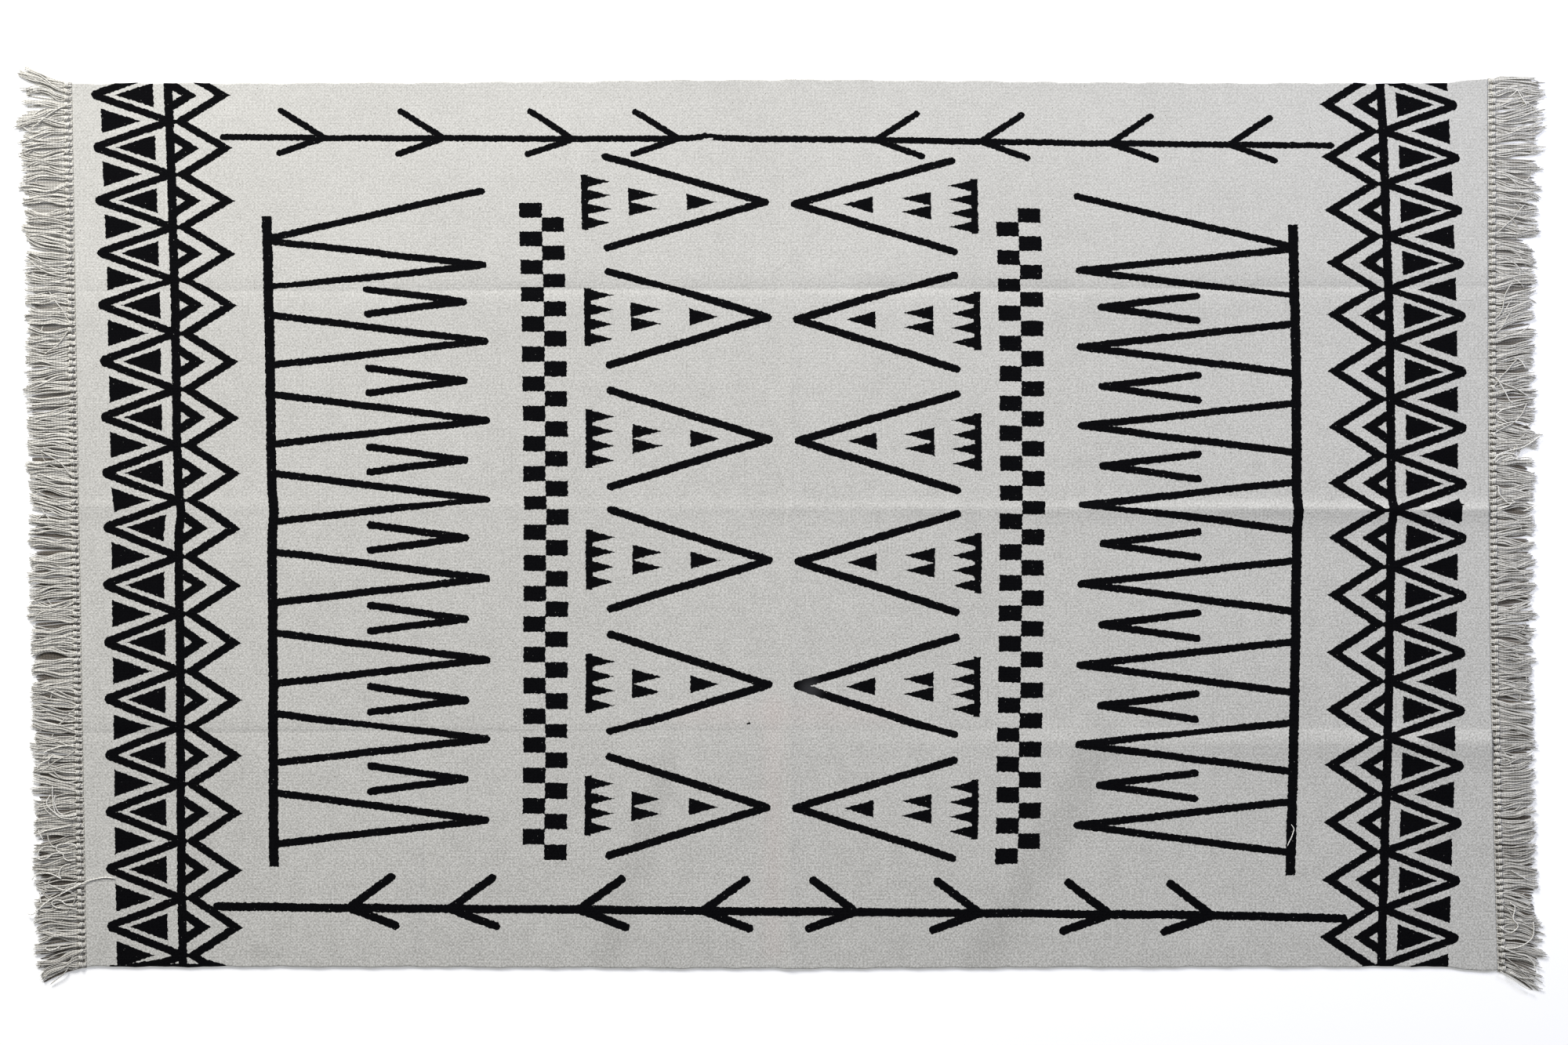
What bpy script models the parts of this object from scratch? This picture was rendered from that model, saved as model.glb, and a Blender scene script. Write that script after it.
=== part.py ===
# Flat-woven cotton rug with a knotted fringe at both ends, lying flat on the floor.
# Metres, +Z up. +X runs along the warp, from one fringe to the other, and +Y across the rug.
# The origin is the middle of the rug's box, on the floor.

import math
import random

import bmesh
import bpy

# Driving sizes of the cloth
CLOTH_LENGTH = 2.385
CLOTH_WIDTH = 1.500
CLOTH_THICKNESS = 0.0035
MESH_GAP = 0.0003

# The four edges aren't quite straight: the cloth stands proud of its plain rectangle by these amounts
LEFT_END_SLANT = 0.0125
RIGHT_CORNER_PULL = 0.0170
TOP_BOW = 0.0060
BOTTOM_BOW = 0.0030
BOW_HALF_WIDTH = 0.45
CORNER_FLARE = 0.0070
CORNER_FLARE_REACH = 0.050

# Soft ridges left by the folds in which the rug was packed: where each one runs and how high it stands
RIDGES_ACROSS = [
    {"x": -0.604, "height": 0.0008},
    {"x": 0.007, "height": 0.0012},
    {"x": 0.603, "height": 0.0008},
]
RIDGES_ALONG = [
    {"y": -0.346, "height": 0.0015},
    {"y": 0.032, "height": 0.0022},
    {"y": 0.398, "height": 0.0015},
]
COLUMNS_PER_SPAN = 6
ROWS_PER_SPAN = 4

# The warp ends are knotted in locks, which leave a narrow band of end wefts at the cloth's end
LOCKS_PER_END = 134
BAND_DEPTH = 0.0030
BAND_THICKNESS = 0.0035
CORNER_MARGIN = 0.0040

# Half-widths of a lock at its neck, knot, waist, middle and tip, and how far from the band each lies
NECK_HALF = 0.0024
KNOT_HALF = 0.0046
WAIST_HALF = 0.0029
MIDDLE_HALF = 0.0038
TIP_HALF = 0.0024
KNOT_REACH = 0.0055
WAIST_REACH = 0.0115
MIDDLE_SHARE = 0.58
TIP_SKEW = 0.0018

# How high a lock stands over the floor
KNOT_HEIGHT = 0.0080
WAIST_HEIGHT = 0.0050
MIDDLE_HEIGHT = 0.0045
TIP_HEIGHT = 0.0025

# Each end's fringe: its mean length, how much longer it is at the upper corner than in the middle,
# and how far its outermost locks are spread at the upper and the lower corner
FRINGES = {
    "fringe_left": {
        "outward": -1,
        "length": 0.083,
        "upper_extra": 0.0,
        "upper_spread": 0.030,
        "lower_spread": 0.034,
        "seed": 11,
        "phase": 0.7,
    },
    "fringe_right": {
        "outward": 1,
        "length": 0.074,
        "upper_extra": 0.009,
        "upper_spread": 0.007,
        "lower_spread": 0.034,
        "seed": 23,
        "phase": 2.9,
    },
}
LENGTH_JITTER = 0.0035
LEAN_WAVES = [
    {"reach": 0.0080, "wavelength": 0.41},
    {"reach": 0.0028, "wavelength": 0.153},
    {"reach": 0.0010, "wavelength": 0.071},
]
CORNER_SPREAD_REACH = 0.045
LEAN_POWER = 1.4


def remove_scene_objects():
    for obj in list(bpy.data.objects):
        bpy.data.objects.remove(obj, do_unlink=True)


def new_material(name, colour, roughness):
    material = bpy.data.materials.new(name)
    material.use_nodes = True
    shader = material.node_tree.nodes["Principled BSDF"]
    shader.inputs["Base Color"].default_value = (*colour, 1.0)
    shader.inputs["Roughness"].default_value = roughness
    shader.inputs["Metallic"].default_value = 0.0
    return material


def link(mesh, name, material, collection):
    obj = bpy.data.objects.new(name, mesh)
    obj.data.materials.append(material)
    collection.objects.link(obj)
    return obj


def bump(distance, reach):
    """A bell curve: 1 at distance 0, and nearly gone at twice the reach."""
    return math.exp(-((distance / reach) ** 2))


def left_end(across):
    """Where the left end lies along X, for across from -1 at the lower edge to 1 at the upper one."""
    return -CLOTH_LENGTH / 2 - LEFT_END_SLANT * across


def right_end(across):
    down = (1 - across) / 2
    return CLOTH_LENGTH / 2 + RIGHT_CORNER_PULL * (down**3 - 0.1)


def long_edge(x, bow):
    """Half the cloth's width at x: bowed out in the middle, and flared where the right corners were pulled."""
    flare = CORNER_FLARE * bump(CLOTH_LENGTH / 2 - x, CORNER_FLARE_REACH)
    return CLOTH_WIDTH / 2 - bow / 2 + bow * bump(x, BOW_HALF_WIDTH) + flare


def cloth_point(along, across):
    """The place on the floor of a point of the cloth, both shares running from -1 to 1."""
    start, end = left_end(across), right_end(across)
    x = start + (end - start) * (along + 1) / 2
    bow = TOP_BOW if across > 0 else BOTTOM_BOW
    return x, across * long_edge(x, bow)


def grid_shares(ridge_places, half_size, steps_per_span):
    """Shares from -1 to 1, in equal steps between one ridge and the next, so that each ridge falls on a line."""
    stops = [-1.0, *[place / half_size for place in ridge_places], 1.0]
    shares = [-1.0]
    for low, high in zip(stops, stops[1:]):
        shares += [low + (high - low) * step / steps_per_span for step in range(1, steps_per_span + 1)]
    return shares


def column_shares():
    return grid_shares([ridge["x"] for ridge in RIDGES_ACROSS], CLOTH_LENGTH / 2, COLUMNS_PER_SPAN)


def row_shares():
    return grid_shares([ridge["y"] for ridge in RIDGES_ALONG], CLOTH_WIDTH / 2, ROWS_PER_SPAN)


def ridge_heights(ridges, steps_per_span):
    """How high each grid line stands: only a ridge's own line is lifted, so the cloth slopes to both sides of it."""
    heights = {steps_per_span * (number + 1): ridge["height"] for number, ridge in enumerate(ridges)}
    line_count = steps_per_span * (len(ridges) + 1) + 1
    return [heights.get(line, 0.0) for line in range(line_count)]


def make_cloth(material, collection):
    """One woven length: an open sheet on the floor, lifted along its ridges, thickened upwards."""
    columns, rows = column_shares(), row_shares()
    column_lift = ridge_heights(RIDGES_ACROSS, COLUMNS_PER_SPAN)
    row_lift = ridge_heights(RIDGES_ALONG, ROWS_PER_SPAN)
    sheet = bmesh.new()
    bmesh.ops.create_grid(sheet, x_segments=len(columns) - 1, y_segments=len(rows) - 1, size=1.0)
    for vert in sheet.verts:
        column = round((vert.co.x + 1) / 2 * (len(columns) - 1))
        row = round((vert.co.y + 1) / 2 * (len(rows) - 1))
        x, y = cloth_point(columns[column], rows[row])
        vert.co = (x, y, max(column_lift[column], row_lift[row]))
    mesh = bpy.data.meshes.new("cloth")
    sheet.to_mesh(mesh)
    sheet.free()
    cloth = link(mesh, "cloth", material, collection)
    thickness = cloth.modifiers.new("thickness", "SOLIDIFY")
    thickness.thickness = CLOTH_THICKNESS
    thickness.offset = 1.0
    return cloth


def end_line(fringe, clearance):
    """The cloth's end, row by row from its lower to its upper edge, moved outwards by a clearance."""
    outward = fringe["outward"]
    points = [cloth_point(outward, across) for across in row_shares()]
    return [(x + outward * clearance, y) for x, y in points]


def x_on_line(line, y):
    for (x0, y0), (x1, y1) in zip(line, line[1:]):
        if y <= y1:
            return x0 + (x1 - x0) * (y - y0) / (y1 - y0)
    return line[-1][0]


def lean(y, fringe):
    """How far a lock's tip lies along Y from its root: long waves, and a spread outwards at both corners."""
    wave = sum(
        term["reach"] * math.sin(2 * math.pi * y / term["wavelength"] + fringe["phase"] * (number + 1))
        for number, term in enumerate(LEAN_WAVES)
    )
    half = CLOTH_WIDTH / 2
    upper = fringe["upper_spread"] * math.exp((y - half) / CORNER_SPREAD_REACH)
    lower = fringe["lower_spread"] * math.exp((-y - half) / CORNER_SPREAD_REACH)
    return wave + upper - lower


def lock_outline(x_root, y_root, fringe, chance):
    """The outline of one lock, from its neck round the tip and back: neck, knot, waist, middle and tip."""
    length = fringe["length"] + fringe["upper_extra"] * y_root / (CLOTH_WIDTH / 2)
    length += chance.uniform(-LENGTH_JITTER, LENGTH_JITTER)
    skew = chance.choice((-TIP_SKEW, TIP_SKEW))
    stations = [
        (0.0, NECK_HALF),
        (KNOT_REACH, KNOT_HALF),
        (WAIST_REACH, WAIST_HALF),
        (length * MIDDLE_SHARE, MIDDLE_HALF),
        (length, TIP_HALF),
    ]
    tip_lean = lean(y_root, fringe)
    lower, upper = [], []
    for reach, half in stations:
        y_middle = y_root + tip_lean * (reach / length) ** LEAN_POWER
        cut = skew if reach == length else 0.0
        lower.append((x_root + fringe["outward"] * (reach + cut), y_middle - half))
        upper.append((x_root + fringe["outward"] * (reach - cut), y_middle + half))
    return lower + upper[::-1]


def fringe_outline(fringe):
    """The flat outline of a whole fringe: the band along the cloth's end and every lock that grows out of it."""
    chance = random.Random(fringe["seed"])
    inner = end_line(fringe, MESH_GAP)
    outer = end_line(fringe, MESH_GAP + BAND_DEPTH)
    y_first = inner[0][1] + CORNER_MARGIN
    y_last = inner[-1][1] - CORNER_MARGIN
    pitch = (y_last - y_first) / (LOCKS_PER_END - 1)
    outline = [outer[0]]
    for number in range(LOCKS_PER_END):
        y_root = y_first + pitch * number
        outline += lock_outline(x_on_line(outer, y_root), y_root, fringe, chance)
    outline.append(outer[-1])
    return outline + inner[::-1]


def height_over_floor(reach):
    """How high the fringe stands at a distance from its band: the knots are the highest, the tips the lowest."""
    profile = [
        (0.0, BAND_THICKNESS),
        (KNOT_REACH, KNOT_HEIGHT),
        (WAIST_REACH, WAIST_HEIGHT),
        (0.040, MIDDLE_HEIGHT),
        (0.090, TIP_HEIGHT),
    ]
    for (reach_0, height_0), (reach_1, height_1) in zip(profile, profile[1:]):
        if reach <= reach_1:
            return height_0 + (height_1 - height_0) * max(reach - reach_0, 0.0) / (reach_1 - reach_0)
    return profile[-1][1]


def flat_solid(name, outline):
    """A filled flat outline as a closed mesh between z 0 and z 1, with its caps welded to its sides."""
    curve = bpy.data.curves.new(name, "CURVE")
    curve.dimensions = "2D"
    curve.fill_mode = "BOTH"
    curve.extrude = 0.5
    spline = curve.splines.new("POLY")
    spline.points.add(len(outline) - 1)
    for point, (x, y) in zip(spline.points, outline):
        point.co = (x, y, 0.0, 1.0)
    spline.use_cyclic_u = True
    shape = bpy.data.objects.new(name + "_outline", curve)
    bpy.context.scene.collection.objects.link(shape)
    bpy.context.view_layer.update()
    mesh = bpy.data.meshes.new_from_object(shape.evaluated_get(bpy.context.evaluated_depsgraph_get()))
    bpy.data.objects.remove(shape, do_unlink=True)
    solid = bmesh.new()
    solid.from_mesh(mesh)
    bmesh.ops.translate(solid, verts=solid.verts, vec=(0.0, 0.0, 0.5))
    bmesh.ops.remove_doubles(solid, verts=solid.verts, dist=1e-6)
    bmesh.ops.recalc_face_normals(solid, faces=solid.faces)
    return mesh, solid


def make_fringe(name, material, collection):
    """All the locks of one end, apart from each other but for the band that their roots grow out of."""
    fringe = FRINGES[name]
    mesh, solid = flat_solid(name, fringe_outline(fringe))
    outer = end_line(fringe, MESH_GAP + BAND_DEPTH)
    for vert in solid.verts:
        reach = fringe["outward"] * (vert.co.x - x_on_line(outer, vert.co.y))
        vert.co.z = height_over_floor(reach) if vert.co.z > 0.5 else 0.0
    solid.to_mesh(mesh)
    solid.free()
    mesh.name = name
    return link(mesh, name, material, collection)


def main():
    remove_scene_objects()
    collection = bpy.data.collections.new("cotton_rug")
    bpy.context.scene.collection.children.link(collection)
    ground = new_material("cotton_ground", (0.62, 0.61, 0.57), 0.9)
    yarn = new_material("fringe_yarn", (0.60, 0.57, 0.52), 0.9)
    make_cloth(ground, collection)
    for name in FRINGES:
        make_fringe(name, yarn, collection)


main()
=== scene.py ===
"""Looks of a flat-woven cotton rug, printed in black, with a knotted fringe at both ends.

Metres, +Z up. +X runs along the warp, from the left fringe to the right one, and +Y across the rug.
The printed design is made of ordinary zigzags, triangles, checks, combs and arrows. Each motif is a
formula in a few real sizes, which the shader works out at every point of the cloth.
"""

from __future__ import annotations

import logging
import math
import random
from dataclasses import dataclass
from enum import Enum
from typing import Mapping, Optional, Sequence, Union

import bpy
import numpy as np
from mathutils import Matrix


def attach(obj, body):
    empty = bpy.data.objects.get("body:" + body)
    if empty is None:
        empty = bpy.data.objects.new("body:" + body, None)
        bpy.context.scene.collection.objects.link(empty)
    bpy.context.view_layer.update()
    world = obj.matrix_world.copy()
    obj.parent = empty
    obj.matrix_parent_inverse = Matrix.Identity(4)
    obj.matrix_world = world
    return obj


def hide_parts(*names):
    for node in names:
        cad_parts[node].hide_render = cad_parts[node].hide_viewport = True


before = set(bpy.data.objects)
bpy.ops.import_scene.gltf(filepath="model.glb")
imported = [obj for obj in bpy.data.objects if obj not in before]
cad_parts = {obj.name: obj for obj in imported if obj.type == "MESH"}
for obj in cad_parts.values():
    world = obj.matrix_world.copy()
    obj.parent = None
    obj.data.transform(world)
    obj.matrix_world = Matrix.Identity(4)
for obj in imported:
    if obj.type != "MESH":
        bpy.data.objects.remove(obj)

LOG = logging.getLogger("cotton_rug")
MILLIMETRE = 0.001
FLAT_MAP = "flat"
YARN_MAP = "yarn"
TONE = "tone"
# Inputs 6 and 7 of such a mix are its two colours, and output 2 is the mixed one
COLOUR_MIX = {"data_type": "RGBA"}
FLAT_NOISE = {"noise_dimensions": "2D"}
# Such a step runs from 0 at From Min to To Max, or else 1, at From Max
SMOOTH_STEP = {"interpolation_type": "SMOOTHSTEP"}
Array = np.ndarray


# Places of the yarns and the thread that lie loose, along and across the rug

LEFT_LOOSE_YARNS = (
    ((-1.1949, -0.4946), (-1.2062, -0.4976), (-1.2228, -0.4955), (-1.2312, -0.4884),
     (-1.2353, -0.4759), (-1.2370, -0.4593), (-1.2374, -0.4427)),
    ((-1.1960, -0.4911), (-1.2106, -0.4935), (-1.2249, -0.4925), (-1.2374, -0.4842),
     (-1.2456, -0.4759), (-1.2467, -0.4676), (-1.2405, -0.4572)),
    ((-1.1960, -0.4884), (-1.2146, -0.4925), (-1.2270, -0.4862), (-1.2333, -0.4737),
     (-1.2342, -0.4634), (-1.2322, -0.4572)),
    ((-1.1949, -0.5474), (-1.2021, -0.5401), (-1.2249, -0.5412), (-1.2301, -0.5464),
     (-1.2281, -0.5526), (-1.2167, -0.5558), (-1.2042, -0.5547)),
    ((-1.1980, -0.5672), (-1.2105, -0.5681), (-1.2167, -0.5651), (-1.2183, -0.5599),
     (-1.2208, -0.5567), (-1.2290, -0.5558), (-1.2374, -0.5578), (-1.2456, -0.5640),
     (-1.2560, -0.5672), (-1.2643, -0.5640)),
    ((-1.2633, -0.5640), (-1.2602, -0.5526), (-1.2519, -0.5453), (-1.2415, -0.5442),
     (-1.2312, -0.5464)),
    ((-1.2062, -0.5091), (-1.2249, -0.5132), (-1.2456, -0.5174), (-1.2602, -0.5226),
     (-1.2674, -0.5257)),
    ((-1.2613, -0.5174), (-1.2584, -0.5243), (-1.2540, -0.5319)),
    ((-1.2228, -0.5983), (-1.2260, -0.5920), (-1.2228, -0.5817), (-1.2146, -0.5754),
     (-1.2062, -0.5744)),
    ((-1.2010, -0.3733), (-1.2228, -0.3753), (-1.2394, -0.3804), (-1.2519, -0.3856)),
    ((-1.2374, -0.3908), (-1.2456, -0.3991), (-1.2560, -0.4033), (-1.2633, -0.4115)),
    ((-1.2795, -0.6581), (-1.2716, -0.6597), (-1.2608, -0.6510), (-1.2493, -0.6406),
     (-1.2370, -0.6322), (-1.2224, -0.6249), (-1.2079, -0.6167), (-1.1955, -0.6115),
     (-1.1787, -0.6034), (-1.1509, -0.5973), (-1.1323, -0.5987)),
    ((-1.1933, -0.6079), (-1.2101, -0.6188), (-1.2286, -0.6281), (-1.2411, -0.6344),
     (-1.2557, -0.6447)),
    ((-1.1996, -0.6451), (-1.2142, -0.6426), (-1.2224, -0.6364), (-1.2328, -0.6354),
     (-1.2381, -0.6395), (-1.2349, -0.6458), (-1.2245, -0.6488), (-1.2101, -0.6488),
     (-1.1955, -0.6499)),
    ((-1.2566, -0.6219), (-1.2588, -0.6302), (-1.2566, -0.6406)),
    ((-1.2722, -0.6012), (-1.2659, -0.5928), (-1.2515, -0.5898), (-1.2370, -0.5918),
     (-1.2224, -0.5991)),
    ((-1.2504, -0.7163), (-1.2432, -0.7204), (-1.2328, -0.7184), (-1.2245, -0.7132)),
)
RIGHT_LOOSE_YARNS = (
    ((1.2278, -0.6393), (1.2362, -0.6476), (1.2330, -0.6662), (1.2414, -0.6787), (1.2320, -0.6891),
     (1.2196, -0.6871), (1.2091, -0.6798)),
    ((1.2673, -0.6725), (1.2683, -0.6849), (1.2651, -0.6994), (1.2528, -0.7099), (1.2362, -0.7160),
     (1.2196, -0.7160)),
    ((1.2113, -0.7140), (1.2362, -0.7244), (1.2569, -0.7306), (1.2673, -0.7410), (1.2714, -0.7554)),
    ((1.2300, -0.5854), (1.2444, -0.5937), (1.2589, -0.6020)),
    ((1.2113, -0.7554), (1.2320, -0.7679), (1.2486, -0.7804), (1.2632, -0.7875)),
    ((1.2278, -0.7579), (1.2444, -0.7658), (1.2694, -0.7679)),
    ((1.2036, 0.2490), (1.2130, 0.2355), (1.2212, 0.2210), (1.2264, 0.2107), (1.2316, 0.2055)),
    ((1.2036, 0.1858), (1.2150, 0.1941), (1.2296, 0.1982), (1.2440, 0.2014), (1.2523, 0.2044)),
    ((1.2036, 0.1858), (1.2119, 0.1792), (1.2212, 0.1734)),
    ((1.2046, 0.1650), (1.2212, 0.1712), (1.2378, 0.1743), (1.2523, 0.1712), (1.2628, 0.1629)),
    ((1.2357, 0.2822), (1.2462, 0.2770), (1.2544, 0.2646)),
    ((1.2005, 0.1152), (1.2212, 0.1236), (1.2462, 0.1297), (1.2628, 0.1380), (1.2793, 0.1505)),
    ((1.1984, 0.1070), (1.2087, 0.1173), (1.2253, 0.1204), (1.2378, 0.1173), (1.2399, 0.1111),
     (1.2296, 0.1131), (1.2150, 0.1079)),
    ((1.2025, 0.1049), (1.2130, 0.1131), (1.2274, 0.1163), (1.2337, 0.1111), (1.2212, 0.1079)),
    ((1.2020, 0.0658), (1.2082, 0.0638), (1.2091, 0.0534), (1.2154, 0.0451), (1.2257, 0.0358),
     (1.2362, 0.0378), (1.2305, 0.0405)),
    ((1.2071, 0.0255), (1.2237, 0.0307), (1.2320, 0.0368)),
    ((1.2735, 0.0327), (1.2610, 0.0275), (1.2507, 0.0223)),
    ((1.2265, 0.7234), (1.2345, 0.7290), (1.2405, 0.7336), (1.2480, 0.7220), (1.2566, 0.7093)),
)
LINT_PATH = (
    (0.8582, -0.5076),
    (0.8625, -0.5145),
    (0.8615, -0.5203),
    (0.8584, -0.5294),
    (0.8547, -0.5368),
    (0.8514, -0.5442),
)


# Shader nodes as numbers


class Field:
    """A number that the shader works out at each point of a surface, so that a design is a formula."""

    def __init__(self, tree: bpy.types.NodeTree, socket: Optional[bpy.types.NodeSocket]) -> None:
        """Keeps the node tree and the output socket that the number comes from."""
        self.tree = tree
        self.socket = socket

    def __add__(self, other: Number) -> Field:
        """The sum of both."""
        return add_node(self.tree, "ShaderNodeMath", {"operation": "ADD"}, {0: self, 1: other})

    def __sub__(self, other: Number) -> Field:
        """This number less the other."""
        return add_node(self.tree, "ShaderNodeMath", {"operation": "SUBTRACT"}, {0: self, 1: other})

    def __mul__(self, other: Number) -> Field:
        """The product of both."""
        return add_node(self.tree, "ShaderNodeMath", {"operation": "MULTIPLY"}, {0: self, 1: other})

    def __abs__(self) -> Field:
        """The number without its sign."""
        return add_node(self.tree, "ShaderNodeMath", {"operation": "ABSOLUTE"}, {0: self})

    def least(self, *others: Number) -> Field:
        """The least of all, which joins shapes given by their distances."""
        found = self
        for other in others:
            found = add_node(self.tree, "ShaderNodeMath", {"operation": "MINIMUM"}, {0: found, 1: other})
        return found

    def most(self, *others: Number) -> Field:
        """The greatest of all, which keeps only what shapes given by their distances share."""
        found = self
        for other in others:
            found = add_node(self.tree, "ShaderNodeMath", {"operation": "MAXIMUM"}, {0: found, 1: other})
        return found


Number = Union[Field, float]
Value = Union[Field, float, Sequence[float]]


def add_node(
    tree: bpy.types.NodeTree,
    kind: str,
    settings: Optional[Mapping[str, object]] = None,
    inputs: Optional[Mapping[Union[str, int], Value]] = None,
    output: Union[str, int] = 0,
) -> Field:
    """Adds one shader node, with its settings and what goes into it.

    Args:
        tree: The node tree of the material.
        kind: The type of the node.
        settings: Its properties, by name.
        inputs: Fields, numbers or colours, by the name or the place of the input.
        output: The name or the place of the output that is wanted.

    Returns:
        The wanted output, or an empty field where the node has none.
    """
    node = tree.nodes.new(kind)
    for name, setting in (settings or {}).items():
        setattr(node, name, setting)
    for place, value in (inputs or {}).items():
        if isinstance(value, Field):
            tree.links.new(value.socket, node.inputs[place])
        else:
            node.inputs[place].default_value = value
    return Field(tree, node.outputs[output] if node.outputs else None)


def along_and_across(place: Field) -> tuple[Field, Field]:
    """Splits a place on the cloth or on a yarn into its two coordinates."""
    x = add_node(place.tree, "ShaderNodeSeparateXYZ", {}, {"Vector": place}, "X")
    return x, Field(place.tree, x.socket.node.outputs["Y"])


def linear(colour: str) -> tuple[float, float, float, float]:
    """Turns an sRGB hex colour to the linear one that shaders take.

    Args:
        colour: Six hex digits after a hash mark.

    Returns:
        Red, green, blue and a full alpha.
    """
    shares = [int(colour[place : place + 2], 16) / 255 for place in (1, 3, 5)]
    red, green, blue = (c / 12.92 if c <= 0.04045 else ((c + 0.055) / 1.055) ** 2.4 for c in shares)
    return red, green, blue, 1.0


def new_material(name: str) -> bpy.types.Material:
    """Makes a material with an empty node tree.

    Args:
        name: The material's name.

    Returns:
        The material.
    """
    material = bpy.data.materials.new(name)
    material.use_nodes = True
    material.node_tree.nodes.clear()
    return material


# Distances to shapes, from which the printed design is put together


def weighted(u: Field, v: Field, u_share: float, v_share: float, constant: float) -> Field:
    """Works out u_share times u, plus v_share times v, plus a constant.

    Args:
        u: The first number.
        v: The second number.
        u_share: What the first is multiplied by.
        v_share: What the second is multiplied by.
        constant: What is added.

    Returns:
        The sum.
    """
    settings = {"operation": "MULTIPLY_ADD"}
    first = add_node(u.tree, "ShaderNodeMath", settings, {0: u, 1: u_share, 2: constant})
    return add_node(u.tree, "ShaderNodeMath", settings, {0: v, 1: v_share, 2: first})


def hypotenuse(first: Field, second: Field) -> Field:
    """The long side of a right-angled triangle with these two legs."""
    legs = {0: first, 1: first, 2: second * second}
    squares = add_node(first.tree, "ShaderNodeMath", {"operation": "MULTIPLY_ADD"}, legs)
    return add_node(first.tree, "ShaderNodeMath", {"operation": "SQRT"}, {0: squares})


def bell_of(distance: Field, reach: float) -> Field:
    """A bell curve of a distance: 1 at distance 0, and nearly gone at twice the reach."""
    power = distance * distance * (-1 / reach**2)
    return add_node(distance.tree, "ShaderNodeMath", {"operation": "POWER"}, {0: math.e, 1: power})


def stroke(u: Field, v: Field, start: Sequence[float], end: Sequence[float], half: float) -> Field:
    """The distance to a straight stroke with round ends.

    A point's way along the stroke and across it come from its turned coordinates. What it lies past
    either end, and what it lies to the side, are the two legs of a right angle.

    Args:
        u: The place along the first axis.
        v: The place along the second axis.
        start: Where the stroke's middle line starts.
        end: Where it ends.
        half: Half the stroke's width.

    Returns:
        The distance, which is negative inside the stroke.
    """
    length = math.dist(start, end)
    along_u, along_v = (end[0] - start[0]) / length, (end[1] - start[1]) / length
    middle_u, middle_v = (start[0] + end[0]) / 2, (start[1] + end[1]) / 2
    along = weighted(u, v, along_u, along_v, -middle_u * along_u - middle_v * along_v)
    aside = weighted(u, v, -along_v, along_u, middle_u * along_v - middle_v * along_u)
    past = (abs(along) - length / 2).most(0.0)
    return hypotenuse(aside, past) - half


def slanted_line(u: Field, v: Field, joint: float, tip: float, rise: float, half: float) -> Field:
    """The distance to the line from (joint, rise) to (tip, 0), which makes a zigzag where v is folded.

    Args:
        u: The place along the zigzag's depth.
        v: The folded place along its length.
        joint: Where the middle line stands at its far turn.
        tip: Where it stands at its near turn.
        rise: How far the two turns are apart.
        half: Half the line's width.

    Returns:
        The distance, which is negative inside the line.
    """
    length = math.hypot(tip - joint, rise)
    offset = weighted(u, v, rise / length, (tip - joint) / length, -tip * rise / length)
    return abs(offset) - half


def wedge(u: Field, v: Field, base: float, apex: float, half_base: float) -> Field:
    """The distance to a filled triangle that points along u, with v folded at its middle line.

    Args:
        u: The place along the triangle.
        v: How far the point is from the triangle's middle line.
        base: Where its base stands.
        apex: Where its apex stands.
        half_base: Half the length of its base.

    Returns:
        The distance, which is negative inside the triangle.
    """
    way = 1.0 if apex > base else -1.0
    length = math.hypot(apex - base, half_base)
    rise, run = way * half_base / length, abs(apex - base) / length
    side = weighted(u, v, rise, run, -rise * apex)
    return side.most((u - base) * -way)


def rounded(first: Field, second: Field, radius: float) -> Field:
    """What two shapes share, with a round corner where their edges meet.

    Within the radius of both edges, the distance is that to a circle: the two ways past the circle's
    middle are the legs of a right angle.

    Args:
        first: The distance to one shape.
        second: The distance to the other.
        radius: The radius of the corner.

    Returns:
        The distance, which is negative inside both.
    """
    legs = [(field + radius).most(0.0) for field in (first, second)]
    return hypotenuse(*legs) - radius


def folded(v: Field, period: float, centre: float, count: Optional[int] = None) -> Field:
    """How far a point is from the nearest of a row of evenly spaced places.

    Args:
        v: The place along the row.
        period: The spacing.
        centre: One of the places, or the middle of the row where it has an end.
        count: How many places there are, or none for a row without an end.

    Returns:
        The distance to the nearest place.
    """
    spare = 0.5 if count is not None and count % 2 == 0 else 0.0
    terms = {0: v, 1: 1 / period, 2: spare - centre / period}
    steps = add_node(v.tree, "ShaderNodeMath", {"operation": "MULTIPLY_ADD"}, terms)
    nearest = add_node(v.tree, "ShaderNodeMath", {"operation": "ROUND"}, {0: steps})
    if count is not None:
        half_count = (count - 1) / 2
        nearest = nearest.most(math.ceil(spare - half_count)).least(math.floor(spare + half_count))
    return abs(steps - nearest) * period


# The printed design


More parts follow.
